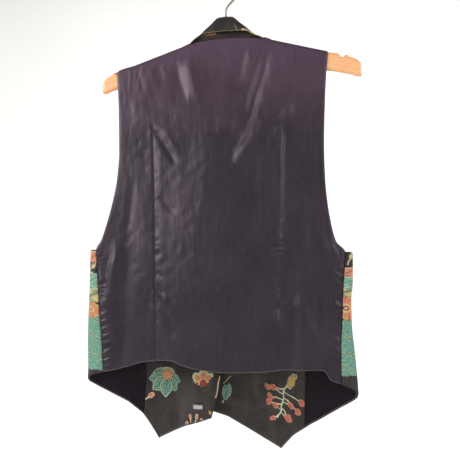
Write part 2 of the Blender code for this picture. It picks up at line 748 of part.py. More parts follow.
def board_outline():
    """Outline of the hanger board, anticlockwise from the middle of its underside."""
    tip_x, end_z = BOARD_HALF_LENGTH, 0.0
    half = []
    for x in (0.0, 0.03, 0.06, 0.10, 0.14, 0.18, 0.205):
        half.append((x, -BOARD_HEIGHT - 0.0012 * math.sin(math.pi * x / tip_x)))
    half += [(tip_x - 0.003, -BOARD_HEIGHT - 0.0008), (tip_x, -BOARD_HEIGHT + 0.0025)]
    for step in range(1, 6):
        angle = math.radians(90 * step / 5)
        x = tip_x - 0.016 * (1 - math.cos(angle))
        half.append((x, -0.014 + 0.0124 * math.sin(angle)))
    half += [(NOTCH_X + NOTCH_RADIUS + 0.003, end_z - 0.0006)]
    for step in range(7):
        angle = math.radians(180 * step / 6)
        half.append((NOTCH_X + NOTCH_RADIUS * math.cos(angle), -NOTCH_RADIUS * math.sin(angle)))
    half += [(x, 0.0) for x in (0.174, 0.160, 0.13, 0.10, 0.065, 0.03)]
    right = [(x, board_top(x) + z) for x, z in half]
    crest = [(0.0, board_top(0.0))]
    left = [(-x, board_top(-x) + z) for x, z in half[1:]]
    return right + crest + left[::-1]


def make_hanger():
    """The wooden board and the wire hook let into its top."""
    curve = bpy.data.curves.new("board_outline", "CURVE")
    curve.dimensions = "2D"
    curve.fill_mode = "BOTH"
    curve.bevel_depth = BOARD_EDGE_ROUND
    curve.bevel_resolution = 2
    curve.offset = -BOARD_EDGE_ROUND
    curve.extrude = BOARD_THICKNESS / 2 - BOARD_EDGE_ROUND
    outline = board_outline()
    spline = curve.splines.new("POLY")
    spline.points.add(len(outline) - 1)
    for point, (x, z) in zip(spline.points, outline):
        point.co = (x, z, 0.0, 1.0)
    spline.use_cyclic_u = True
    flat = bpy.data.objects.new("board_flat", curve)
    bpy.context.scene.collection.objects.link(flat)
    flat.rotation_euler = (math.radians(90), 0, 0)
    bpy.context.view_layer.update()
    evaluated = flat.evaluated_get(bpy.context.evaluated_depsgraph_get())
    mesh = bpy.data.meshes.new_from_object(evaluated)
    mesh.transform(flat.matrix_world)
    bpy.data.objects.remove(flat)
    shape = bmesh.new()
    shape.from_mesh(mesh)
    bmesh.ops.remove_doubles(shape, verts=shape.verts, dist=0.00002)
    bmesh.ops.recalc_face_normals(shape, faces=shape.faces)
    shape.to_mesh(mesh)
    shape.free()
    mesh.materials.clear()
    mesh.set_sharp_from_angle(angle=math.radians(40))
    board = new_object("hanger_board", mesh, WOOD)

    drill = bmesh.new()
    bmesh.ops.create_cone(
        drill,
        cap_ends=True,
        segments=12,
        radius1=WIRE_RADIUS + SHANK_CLEARANCE,
        radius2=WIRE_RADIUS + SHANK_CLEARANCE,
        depth=2 * SHANK_DEPTH,
    )
    drill_mesh = bpy.data.meshes.new("shank_drill")
    drill.to_mesh(drill_mesh)
    drill.free()
    cutter = bpy.data.objects.new("shank_drill", drill_mesh)
    cutter.location = (0, 0, BOARD_CREST_Z)
    cutter.hide_render = True
    cutter.display_type = "WIRE"
    bpy.data.collections["cutters"].objects.link(cutter)
    cut = board.modifiers.new("shank_hole", "BOOLEAN")
    cut.object = cutter
    cut.operation = "DIFFERENCE"

    centre_z = -(HOOK_RADIUS - WIRE_RADIUS)
    start = math.radians(HOOK_JOG_ANGLE)
    tangent_x = HOOK_RADIUS * math.cos(start)
    tangent_z = centre_z + HOOK_RADIUS * math.sin(start)
    jog_z = tangent_z - tangent_x
    route = [(0.0, BOARD_CREST_Z - SHANK_DEPTH + 0.0004), (0.0, (BOARD_CREST_Z + jog_z) / 2)]
    bend = 0.007
    for step in range(4):
        share = step / 3
        straight = (0.0, jog_z - bend * (1 - share))
        slant = (bend * 0.7071 * share, jog_z + bend * 0.7071 * share)
        route.append((mix(straight[0], slant[0], share), mix(straight[1], slant[1], share)))
    count = 20
    for step in range(count + 1):
        angle = mix(start, math.radians(HOOK_TIP_ANGLE), step / count)
        route.append((HOOK_RADIUS * math.cos(angle), centre_z + HOOK_RADIUS * math.sin(angle)))
    wire = bpy.data.curves.new("hook_route", "CURVE")
    wire.dimensions = "3D"
    wire.bevel_depth = WIRE_RADIUS
    wire.bevel_resolution = 2
    wire.use_fill_caps = True
    path = wire.splines.new("POLY")
    path.points.add(len(route) - 1)
    for point, (x, z) in zip(path.points, route):
        point.co = (x, 0.0, z, 1.0)
    slot, colour, roughness, metallic = STEEL
    material = bpy.data.materials.new(slot)
    material.use_nodes = True
    shader = material.node_tree.nodes["Principled BSDF"]
    shader.inputs["Base Color"].default_value = (*colour, 1.0)
    shader.inputs["Roughness"].default_value = roughness
    shader.inputs["Metallic"].default_value = metallic
    wire.materials.append(material)
    hook = bpy.data.objects.new("hanger_hook", wire)
    bpy.data.collections["waistcoat_on_hanger"].objects.link(hook)


def main():
    for thing in list(bpy.data.objects):
        bpy.data.objects.remove(thing)
    for name in ("waistcoat_on_hanger", "cutters"):
        bpy.context.scene.collection.children.link(bpy.data.collections.new(name))
    cloth("back", back_grid(), SATIN_WALL, SATIN, 1)
    make_fronts()
    make_collar()
    make_buttons()
    make_label()
    make_hanger()


main()
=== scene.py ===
"""Looks for a satin-backed brocade waistcoat on a wooden hanger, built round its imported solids.

Metres, +Z up, in the row's own frame. The satin back faces -Y and the brocade fronts face +Y, and
-X is the wearer's left. Each cloth piece is a thin wall on the form of its solid, with finer folds.
"""
from __future__ import annotations

import logging
import math
from dataclasses import dataclass, field
from enum import IntEnum
from typing import Iterable, Sequence, Union

import bpy
import numpy as np
from mathutils import Matrix, Vector

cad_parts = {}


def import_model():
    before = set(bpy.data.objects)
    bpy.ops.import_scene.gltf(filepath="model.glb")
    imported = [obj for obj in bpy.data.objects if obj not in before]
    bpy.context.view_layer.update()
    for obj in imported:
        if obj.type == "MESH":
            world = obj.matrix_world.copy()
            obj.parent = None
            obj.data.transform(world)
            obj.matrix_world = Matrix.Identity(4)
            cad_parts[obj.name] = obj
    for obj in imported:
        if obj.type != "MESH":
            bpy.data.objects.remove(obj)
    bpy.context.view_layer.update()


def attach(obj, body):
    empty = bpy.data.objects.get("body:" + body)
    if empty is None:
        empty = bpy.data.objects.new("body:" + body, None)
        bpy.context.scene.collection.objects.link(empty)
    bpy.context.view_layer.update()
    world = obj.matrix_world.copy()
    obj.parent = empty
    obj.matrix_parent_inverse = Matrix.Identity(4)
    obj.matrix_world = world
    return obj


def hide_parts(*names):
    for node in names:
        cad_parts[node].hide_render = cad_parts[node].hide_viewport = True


log = logging.getLogger("waistcoat")

Array = np.ndarray
Colour = tuple[float, float, float]
Number = Union[float, "Value"]


# ---------------------------------------------------------------- small maths


def mix(a: Array | float, b: Array | float, share: Array | float) -> Array | float:
    """The value or point that lies this share of the way from a to b."""
    return a + (b - a) * share


def ease(low: float, high: float, value: Array | float) -> Array:
    """0 below low, 1 above high, and a smooth step between them."""
    share = np.clip((np.asarray(value, float) - low) / (high - low), 0.0, 1.0)
    return share * share * (3 - 2 * share)


@dataclass(frozen=True)
class Curve:
    """A smooth curve through points of rising key, which never overshoots them."""

    keys: tuple[float, ...]
    values: tuple[float, ...]

    def __call__(self, at: Array | float) -> Array:
        """The curve's value.

        Args:
            at: where to read it; outside the keys it holds its end values.

        Returns:
            One value for each place.
        """
        keys, values = np.array(self.keys), np.array(self.values)
        slopes = np.diff(values) / np.diff(keys)
        before, after = slopes[:-1], slopes[1:]
        rising = before * after > 0
        inner = np.where(rising, 2 * before * after / np.where(rising, before + after, 1.0), 0.0)
        tangents = np.concatenate([slopes[:1], inner, slopes[-1:]])
        at = np.clip(np.asarray(at, float), keys[0], keys[-1])
        i = np.clip(np.searchsorted(keys, at, side="right") - 1, 0, len(keys) - 2)
        width = keys[i + 1] - keys[i]
        t = (at - keys[i]) / width
        return (
            (1 + 2 * t) * (1 - t) ** 2 * values[i]
            + t * (1 - t) ** 2 * width * tangents[i]
            + t * t * (3 - 2 * t) * values[i + 1]
            + t * t * (t - 1) * width * tangents[i + 1]
        )


def columns(*rows: Sequence[float], per_metre: float = 1.0) -> list[Curve]:
    """Curves for the columns of a table whose first column is the key, with the table's units to a metre."""
    keys, *ordered = (tuple(value / per_metre for value in column) for column in zip(*sorted(rows)))
    return [Curve(keys, values) for values in ordered]


def ripple(u: Array, v: Array, wavelength: float, seed: int) -> Array:
    """A soft uneven surface between about -1 and 1, made of crossing waves.

    Args:
        u, v: the place, in metres.
        wavelength: typical distance from crest to crest.
        seed: chooses the waves.

    Returns:
        One height for each place.
    """
    draw = np.random.default_rng(seed)
    total = np.zeros(np.broadcast(u, v).shape)
    for _ in range(7):
        angle, phase = draw.uniform(0, math.tau, 2)
        pitch = wavelength * draw.uniform(0.7, 1.5)
        along = u * math.cos(angle) + v * math.sin(angle)
        total += np.sin(math.tau * along / pitch + phase)
    return total / 3.2


@dataclass(frozen=True)
class Fold:
    """A soft ridge (+) or trough (-) of cloth along a line from its top to its foot."""

    top_x: float
    top_z: float
    foot_x: float
    foot_z: float
    half_width: float
    height: float

    def __call__(self, x: Array, z: Array) -> Array:
        """Height of the fold at places of the cloth."""
        run_x, run_z = self.foot_x - self.top_x, self.foot_z - self.top_z
        length = math.hypot(run_x, run_z)
        share = ((x - self.top_x) * run_x + (z - self.top_z) * run_z) / length**2
        across = ((x - self.top_x) * run_z - (z - self.top_z) * run_x) / length / self.half_width
        fade = ease(-0.18, 0.22, share) * (1 - ease(0.8, 1.2, share))
        return self.height * fade * np.exp(-across * across)


def folds(*rows: Sequence[float]) -> tuple[Fold, ...]:
    """Folds from rows of millimetres."""
    return tuple(Fold(*(value / 1000 for value in row)) for row in rows)


def lengths_along(line: Array) -> Array:
    """How far along a line each of its points lies."""
    return np.concatenate([[0.0], np.cumsum(np.linalg.norm(np.diff(line, axis=0), axis=1))])


# ---------------------------------------------------------------- forms shared with the solids


@dataclass(frozen=True)
class BoardForm:
    """The flat hanger board: two arms that slope down to rounded ends."""

    thickness: float = 0.012
    height: float = 0.0285
    crest_z: float = -0.0857
    half_length: float = 0.2205
    edge_round: float = 0.0055
    slope: float = 0.292
    lean: float = 0.012
    end_rise: float = 0.002
    end_start: float = 0.16
    end_full: float = 0.182
    notch_x: float = 0.189
    notch_radius: float = 0.0042

    def top(self, x: Array | float) -> Array:
        """Height of the board's top edge, without its notches."""
        rise = self.end_rise * ease(self.end_start, self.end_full, np.abs(x))
        return self.crest_z - self.slope * np.abs(x) + self.lean * x + rise


@dataclass(frozen=True)
class GarmentForm:
    """Where the cloth hangs: the outlines, bows and largest folds of the solids, and finer folds."""

    board: BoardForm = BoardForm()
    satin_wall: float = 0.0012
    brocade_wall: float = 0.0014
    facing_wall: float = 0.001
    seam_gap: float = 0.0006
    layer_gap: float = 0.0005
    drape_radius: float = 0.0082
    ridge_rise: float = 0.0022
    shoulder_seam_y: float = 0.0018
    underarm_z: float = -0.4515
    neck_x: float = 0.0625
    neck_climb_x: float = 0.04
    neck_back_z: float = -0.0992
    neck_point_z: float = -0.103
    closure_lap: float = 0.0042
    underarm_row: float = 10.0
    top_row: float = 25.0
    crowding: float = 1.4
    dart_top_z: float = -0.245

    BACK = dict(zip(("left", "dart_left", "dart_right", "right"), columns(
        (-670, -217.2, -117.5, 90.5, 188.8), (-606, -220, -118, 91, 187.6), (-554, -224, -118.5, 92.5, 189.6),
        (-500, -227.2, -119.2, 93.8, 191.5), (-451.5, -230, -119.8, 94.6, 194.4),
        (-434, -220.6, -120.2, 94.8, 180), (-400, -208.7, -121, 95.2, 171), (-366, -199, -122, 95.5, 165.8),
        (-331, -191.7, -123, 96, 162.7), (-280, -187.2, -125, 96.6, 161.2), (-211, -188, -126.2, 97.5, 162.6),
        (-160, -190.5, -126.2, 98, 165.2), (-128, -192.2, -126.2, 98, 168),
        per_metre=1000.0,
    )))
    TIP = dict(zip(("left", "right"), columns(
        (-690, -251.5, 216), (-660, -249.7, 214), (-611, -250.2, 209.5), (-565, -248.3, 204.8),
        (-528, -246.8, 204), (-496, -245.8, 206.4), (-451.5, -243.7, 206.3),
        per_metre=1000.0,
    )))
    FRONT = dict(zip(("left_armhole", "left_centre", "right_centre", "right_armhole"), columns(
        (-790, -220, -40, -50, 193), (-745, -220, -30, -48, 193), (-663, -220, -11, -43, 193),
        (-600, -220, -8, -38, 193), (-500, -223, -8, -35, 191), (-451.5, -223, -8, -34, 189),
        (-441, -209, -8, -34, 175.5), (-422, -193.5, -8, -34, 161.5), (-385, -180, -8, -34, 150),
        (-340, -172.5, -16.7, -18.7, 144), (-270, -171.5, -30.2, 5.2, 143), (-200, -179, -43.7, 29, 151.5),
        (-150, -188, -53.3, 46.1, 163), (-100, -192.5, -63, 63, 169),
        per_metre=1000.0,
    )))
    BOWS = dict(zip(("back", "front", "left_curl"), columns(
        (-790, 21.5, 33, 25), (-700, 21, 30, 17), (-650, 20.5, 26.5, 7), (-615, 20, 24, 0), (-560, 19, 20, 0),
        (-450, 15, 14.5, 0), (-330, 9.5, 9, 0), (-220, 4, 4, 0), (-140, 0, 0, 0), (-60, 0, 0, 0),
        per_metre=1000.0,
    )))
    BACK_HEM = columns(
        (-219, -664), (-189, -657), (-162, -648), (-137, -640.1), (-89, -634.5), (-73, -640), (-30, -646.5),
        (5, -648), (53, -645.5), (85, -643.2), (150, -641.2), (163, -643), (171, -656), (189, -661.5),
        per_metre=1000.0,
    )[0]
    FRONT_HEM = {
        "left": (
            (-1.0, -0.75, -0.5, -0.25, 0.0, 0.18, 0.32, 6 / 12, 0.76, 0.9, 1.0),
            (-0.664, -0.6715, -0.6805, -0.69, -0.702, -0.7205, -0.742, -0.786, -0.7588, -0.7467, -0.7385),
        ),
        "right": (
            (-1.0, -0.75, -0.5, -0.25, 0.0, 0.21, 0.33, 5 / 12, 0.56, 0.73, 0.82, 0.92, 1.0),
            (
                -0.6615, -0.669, -0.679, -0.69, -0.703, -0.7385, -0.761,
                -0.7874, -0.772, -0.753, -0.742, -0.736, -0.732,
            ),
        ),
    }
    BACK_RUNS = (0.066, 0.036, 0.022, 0.0082 * math.pi / 2, 0.0088, 0.0044, 0.0)
    FRONT_RUNS = (0.07, 0.04, 0.022, 0.0082 * math.pi / 2, 0.0088, 0.005, 0.0018, 0.0003)
    # In millimetres, as the tables above; the first thirteen are the solid's own, the others lie in the looks alone
    BACK_FOLDS = folds(
        (30, -130, 12, -180, 11, -3), (68, -145, 6, -300, 13, -4.2), (100, -210, 20, -300, 16, 5),
        (-66, -135, -52, -190, 11, 2.8), (-84, -140, -78, -200, 12, -2.8), (-194, -450, -214, -580, 14, 5.2),
        (-170, -430, -184, -640, 16, -4.8), (118, -490, 104, -650, 14, -5.5), (86, -560, 60, -650, 18, 4),
        (150, -500, 168, -665, 13, -6), (172, -420, 183, -560, 11, 3.4), (50, -450, 15, -540, 22, 3),
        (-20, -260, -60, -560, 30, 2.6), (58, -124, 30, -215, 6, 1.6), (73, -121, 54, -184, 6, -2.4),
        (54, -184, 34, -260, 7, -2.6), (34, -260, 8, -305, 8, -1.6), (94, -215, 64, -285, 9, 1.7),
        (64, -285, 38, -320, 8, 1), (36, -112, 24, -165, 5, -1.6), (-60, -134, -46, -203, 5, 1.4),
        (-90, -129, -68, -193, 6, -1.7), (-152, -146, -144, -174, 4, -1.2), (-120, -130, -109, -165, 5, -1.4),
        (-133, -136, -125, -160, 4, 1), (119, -160, 115, -247, 6, -1.6), (115, -247, 106, -290, 6, -1.2),
        (-127, -237, -118, -255, 3, -1.4), (-117, -252, -85, -302, 6, -2.8), (-107, -246, -77, -292, 6, 1.3),
        (-112, -360, -85, -387, 6, -1.7), (-116, -452, -112, -461, 4, -1.8), (77, -448, 62, -475, 9, 1.5),
        (-200, -455, -214, -530, 7, -3.4), (-189.5, -452, -215, -560, 8.5, 4), (165, -425, 190, -477, 4.5, 2.2),
        (156, -425, 180, -480, 5, -1.8), (162, -563, 188, -598, 5, 1.6), (-126, -519, -129, -541, 3.5, -2.2),
        (-138, -531, -122, -546, 3, -2), (-129, -531, -119, -518, 3, 1.4), (-115, -487, -106, -497, 3, -1.8),
        (-115, -512, -106, -523, 3.5, -1.6), (-134, -512, -146, -530, 4, -1.2),
        (-117, -524, -94, -558, 6, -2.8), (-94, -558, -85, -593, 7, -2.6), (-104, -527, -84, -562, 6, 1.8),
        (-151, -617.5, -132, -618.5, 1.7, -0.8), (-150, -624.5, -131, -625.5, 1.7, -0.8),
        (-108, -611, -88, -619, 1.8, -0.9), (-104, -620, -80, -627, 1.8, -0.9),
        (-112, -604, -99, -633, 3, -1.2), (-126, -608, -124, -630, 3, -1.1), (107, -526, 94, -533, 4, -1.8),
        (91, -550, 91, -602, 5, 1.8), (115, -529, 140, -574, 9, 2), (140, -574, 169, -624, 9, 2.4),
        (10, -330, -30, -420, 14, -1.4), (75, -330, 60, -430, 16, 1.4), (-160, -330, -170, -420, 8, -1.4),
        (135, -330, 150, -450, 9, -1.6), (98, -470, 102, -640, 12, -2.4), (128, -440, 126, -630, 10, 2.2),
        (0, -400, 4, -640, 22, 2), (132, -170, 140, -300, 11, -2), (46, -300, 50, -420, 12, -1.6),
    )
    FRONT_FOLDS = folds(
        (-150, -420, -130, -700, 20, -4), (-80, -560, -95, -780, 16, 3.6), (120, -420, 105, -720, 22, -4),
        (60, -520, 40, -740, 22, 3.4), (-120, -230, -105, -330, 10, -1.4), (118, -240, 96, -350, 10, -1.5),
        (-150, -300, -128, -380, 8, 1.2), (126, -330, 112, -410, 9, 1.2), (-60, -430, -95, -500, 9, -1.3),
        (10, -440, 50, -520, 9, -1.3), (-190, -480, -180, -600, 10, 1.3), (160, -490, 150, -610, 10, 1.3),
    )

    def ridge(self, x: Array) -> Array:
        """Outer face of the cloth where it lies on the board's top edge."""
        return self.board.top(x) + self.ridge_rise

    def run_at(self, x: Array, z: Array) -> Array:
        """How far down the cloth from the ridge the height z lies."""
        radius = self.drape_radius
        drop = self.ridge(x) - z
        on_top = radius * np.arccos(np.clip(1 - drop / radius, -1.0, 1.0))
        return np.where(drop < radius, on_top, radius * math.pi / 2 + drop - radius)

    def over_board(self, x: Array, run: Array) -> tuple[Array, Array]:
        """Depth and height of cloth that starts at the ridge and runs down one side of the board."""
        radius = self.drape_radius
        angle = np.clip(run / radius, 0.0, math.pi / 2)
        depth = np.where(run < 0, run, radius * np.sin(angle))
        below = np.maximum(run - radius * math.pi / 2, 0.0)
        return depth, self.ridge(x) - radius * (1 - np.cos(angle)) - below

    def neck_run(self, x: Array) -> Array:
        """How far down from the ridge the neck seam lies; past the neck point it is the shoulder seam."""
        near = np.copysign(np.minimum(np.abs(x), self.neck_climb_x), x)
        neck_z = mix(self.neck_back_z, self.neck_point_z, (near / self.neck_x) ** 2)
        over = -(self.shoulder_seam_y - self.seam_gap / 2)
        return mix(self.run_at(near, neck_z), over, ease(self.neck_climb_x, self.neck_x, np.abs(x)))

    def puckers(self, x: Array, z: Array) -> Array:
        """Small puckers of the back along its seams, armholes, shoulders and darts."""
        left, right = self.BACK["left"](z), self.BACK["right"](z)
        below = self.underarm_z - z
        total = np.zeros(np.broadcast(x, z).shape)
        for inward, side, seed in ((x - left, 1, 3), (right - x, -1, 5)):
            uneven = ripple(z, z * 0.37, 0.045, seed)
            seam = ease(0.004, 0.02, below) * ease(0.0, 0.003, inward) * (1 - ease(0.007, 0.024, inward))
            phase = (z - (0.35 if side > 0 else 0.62) * inward) / 0.0135 + 0.55 * uneven
            total += 0.0021 * seam * (0.65 + 0.45 * uneven) * np.sin(math.tau * phase)
            arm = ease(-0.27, -0.23, z) * ease(0.002, 0.006, inward) * (1 - ease(0.01, 0.022, inward))
            strength = 0.0007 if side < 0 else 0.0004
            total += strength * arm * np.sin(math.tau * ((z + 0.5 * inward) / 0.0095 + 0.5 * uneven))
        run = self.run_at(x, z)
        shoulder = ease(self.neck_x - 0.01, self.neck_x + 0.01, np.abs(x)) * ease(0.008, 0.016, run)
        shoulder = shoulder * (1 - ease(0.018, 0.055, run))
        total += 0.0005 * shoulder * np.sin(math.tau * (x + 0.25 * z) / 0.0165 + 4.5 * ripple(x, z, 0.05, 8))
        neck = (1 - ease(self.neck_x - 0.01, self.neck_x, np.abs(x))) * (1 - ease(0.02, 0.05, run))
        total += 0.0002 * neck * ease(0.013, 0.018, run) * np.sin(math.tau * x / 0.014 + 4.0 * ripple(x, z, 0.05, 9))
        for name, side, start, stop in (("dart_left", 1, -0.6, -0.27), ("dart_right", -1, -0.6, -0.33)):
            beside = (x - self.BACK[name](z)) * side
            window = ease(start, start + 0.03, z) * (1 - ease(stop - 0.03, stop, z))
            band = np.exp(-(((beside - 0.004) / 0.0035) ** 2))
            total -= 0.0007 * window * band * (0.5 + 0.5 * np.sin(math.tau * z / 0.0155 + 2 * ripple(z, z, 0.05, 11)))
        return total

    def dart_groove(self, x: Array, z: Array) -> Array:
        """Depth of the two long darts: a broad pressed hollow and the fine seam line in it."""
        total = np.zeros(np.broadcast(x, z).shape)
        for name in ("dart_left", "dart_right"):
            beside = x - self.BACK[name](z)
            length = 1 - ease(self.dart_top_z - 0.02, self.dart_top_z + 0.01, z)
            total += length * 0.0014 * np.exp(-((beside / 0.008) ** 2))
            total += length * 0.0013 * np.exp(-np.abs(beside) / 0.0016)
            total -= length * 0.0005 * np.exp(-(((beside + 0.0045) / 0.003) ** 2))
        return total

    def back_bow(self, x: Array, z: Array) -> Array:
        """How far the back stands out beyond the board's plane, with its folds, darts and puckers."""
        left, right = self.BACK["left"](z), self.BACK["right"](z)
        across = (2 * x - left - right) / (right - left)
        bow = self.BOWS["back"](z) * (0.5 + 0.5 * np.cos(math.pi * np.minimum(1.0, np.abs(across))))
        edge_fade = 1 - ease(0.8, 1.0, np.abs(across))
        creases = sum(fold(x, z) for fold in self.BACK_FOLDS) * mix(0.45, 1.0, edge_fade)
        slack = 0.00045 * edge_fade * (ripple(x, z * 0.6, 0.05, 21) + 0.5 * ripple(x, z * 0.8, 0.022, 22))
        return bow + creases + slack - self.dart_groove(x, z) + self.puckers(x, z)

    def back_point(self, x: Array, run: Array) -> Array:
        """Points of the back's outer face, a given run of cloth down from the ridge."""
        depth, z = self.over_board(x, run)
        settled = ease(self.drape_radius, 0.05, run)
        small = 0.3 * ease(self.drape_radius, 0.02, run) * (1 - settled)
        stand = self.back_bow(x, z) * settled + self.puckers(x, z) * small
        return np.stack([x, -depth - stand, z], axis=-1)

    def front_bow(self, side: str, x: Array, z: Array) -> Array:
        """How far a front stands out beyond the board's plane."""
        low = np.maximum(z, -0.69)
        left, right = self.TIP["left"](low), self.TIP["right"](low)
        across = np.abs((2 * x - left - right) / (right - left))
        bow = self.BOWS["front"](z) * (0.5 + 0.5 * np.cos(math.pi * np.minimum(1.0, across) ** 1.4))
        flat = 1 - ease(0.72, 0.95, across)
        bow = bow + sum(fold(x, z) for fold in self.FRONT_FOLDS) * flat
        bow = bow + 0.0004 * flat * ripple(x, z * 0.7, 0.055, 31)
        if side == "left":
            bow = bow - self.BOWS["left_curl"](z) * ease(-0.15, -0.04, x)
            bow = bow - self.closure_lap * ease(-0.08, -0.048, x) * (1 - ease(-0.33, -0.27, z))
        return bow

    def front_point(self, side: str, x: Array, run: Array) -> Array:
        """Points of a front's outer face, a given run of cloth down from the ridge."""
        depth, z = self.over_board(x, run)
        settled = ease(self.drape_radius, 0.05, run)
        y = self.shoulder_seam_y + depth + self.front_bow(side, x, z) * settled
        return np.stack([x, y, z], axis=-1)

    def front_y(self, side: str, x: Array, z: Array) -> Array:
        """Outer face of a front at a place, in front of the board."""
        return self.front_point(side, x, self.run_at(x, z))[..., 1]

    def seam_x(self, side: str, z: Array) -> Array:
        """Line of the side seam, which lies on the back."""
        return self.BACK[side](np.minimum(z, self.underarm_z))


# ---------------------------------------------------------------- cloth as a mesh


@dataclass(frozen=True)
class Motif:
    """One woven motif: its kind, its middle on the cut cloth, its half height, its turn and how wide it is."""

    kind: int
    u: float
    v: float
    size: float
    turn: float = 0.0
    wide: float = 1.0


def motifs(*rows: Sequence[float]) -> tuple[Motif, ...]:
    """Motifs from rows of kind, middle and half height in millimetres, turn and width."""
    return tuple(Motif(kind, u / 1000, v / 1000, size / 1000, *rest) for kind, u, v, size, *rest in rows)


def placed(name: str, data: bpy.types.ID) -> bpy.types.Object:
    """A new object in the scene."""
    made = bpy.data.objects.new(name, data)
    bpy.context.scene.collection.objects.link(made)
    return made


def finished(guide: bpy.types.Object) -> bpy.types.Mesh:
    """A guide's final mesh."""
    bpy.context.view_layer.update()
    return bpy.data.meshes.new_from_object(guide.evaluated_get(bpy.context.evaluated_depsgraph_get()))


def tube_faces(rings: int, sides: int) -> list[list[int]]:
    """Faces of a tube whose points lie ring by ring, with both ends closed."""
    faces = []
    for ring in range(rings - 1):
        for side in range(sides):
            a, b = ring * sides + side, ring * sides + (side + 1) % sides
            faces.append([a, b, b + sides, a + sides])
    faces.append(list(range(sides))[::-1])
    faces.append([(rings - 1) * sides + side for side in range(sides)])
    return faces


def turned(profile: Sequence[tuple[float, float]], sides: int, footed: bool) -> Mesh:
    """A shape turned about the upright axis.

    Args:
        profile: distance and height from the middle of its top outward, and back in where it is footed.
        sides: faces round the axis.
        footed: whether the profile ends on the axis again.

    Returns:
        The shape, with no object yet.
    """
    points, faces = [(0.0, 0.0, profile[0][1])], []
    rings = profile[1:-1] if footed else profile[1:]
    for distance, height in rings:
        for n in range(sides):
            angle = math.tau * n / sides
            points.append((distance * math.cos(angle), distance * math.sin(angle), height))
    base = 1 + (len(rings) - 1) * sides
    if footed:
        points.append((0.0, 0.0, profile[-1][1]))
    for n in range(sides):
        after = (n + 1) % sides
        faces.append([0, 1 + n, 1 + after])
        for ring in range(len(rings) - 1):
            a, b = 1 + ring * sides + n, 1 + ring * sides + after
            faces.append([a, a + sides, b + sides, b])
        if footed:
            faces.append([base + n, len(points) - 1, base + after])
    return Mesh(np.array(points), faces)


@dataclass
class Mesh:
    """Points and faces on their way to becoming an object."""

    points: Array
    faces: list[list[int]]
    flat: Array | None = None

    def object(self, name: str, material: bpy.types.Material, motifs: Sequence[Motif] = ()) -> bpy.types.Object:
        """Makes the object, with the cut cloth's place of each corner, and of its nearest motif.

        Args:
            name: the object's name.
            material: its finish.
            motifs: the motifs woven into it.

        Returns:
            The new object, in the scene.
        """
        mesh = bpy.data.meshes.new(name)
        mesh.from_pydata(self.points.tolist(), [], self.faces)
        mesh.validate()
        mesh.shade_smooth()
        mesh.materials.append(material)
        if self.flat is not None:
            self._lay_out(mesh, motifs)
        return placed(name, mesh)

    def _lay_out(self, mesh: bpy.types.Mesh, motifs: Sequence[Motif]) -> None:
        """Writes the cloth's own coordinates to the mesh's corners."""
        corner = np.empty(len(mesh.loops), np.int32)
        mesh.loops.foreach_get("vertex_index", corner)
        place = self.flat[corner]
        layer = mesh.uv_layers.new(name="cloth")
        layer.data.foreach_set("uv", place.astype(np.float32).ravel())
        if not motifs:
            return
        start = np.empty(len(mesh.polygons), np.int32)
        count = np.empty(len(mesh.polygons), np.int32)
        mesh.polygons.foreach_get("loop_start", start)
        mesh.polygons.foreach_get("loop_total", count)
        middle = np.add.reduceat(place, start, axis=0) / count[:, None]
        best = np.full(len(middle), 1.3)
        chosen = np.full(len(middle), -1)
        for index, motif in enumerate(motifs):
            local = self._local(middle, motif)
            reach = np.hypot(local[:, 0], local[:, 1])
            nearer = reach < best
            best[nearer], chosen[nearer] = reach[nearer], index
        face_of = np.repeat(np.arange(len(start)), count)
        values = np.zeros((len(corner), 3), np.float32)
        values[:, :2] = 5.0
        for index, motif in enumerate(motifs):
            at = chosen[face_of] == index
            values[at, :2] = self._local(place[at], motif)
            values[at, 2] = motif.kind
        woven = mesh.attributes.new("motif", "FLOAT_VECTOR", "CORNER")
        woven.data.foreach_set("vector", values.ravel())

    @staticmethod
    def _local(place: Array, motif: Motif) -> Array:
        """Places on the cut cloth, seen from a motif's middle and measured in its half size."""
        turn = math.radians(motif.turn)
        u, v = place[:, 0] - motif.u, place[:, 1] - motif.v
        across = u * math.cos(turn) + v * math.sin(turn)
        up = -u * math.sin(turn) + v * math.cos(turn)
        return np.stack([across / motif.wide, up], axis=-1) / motif.size

    @staticmethod
    def joined(parts: Iterable[Mesh]) -> Mesh:
        """Several meshes as one."""
        points, faces, total = [], [], 0
        for part in parts:
            points.append(part.points)
            faces += [[corner + total for corner in face] for face in part.faces]
            total += len(part.points)
        return Mesh(np.concatenate(points), faces)


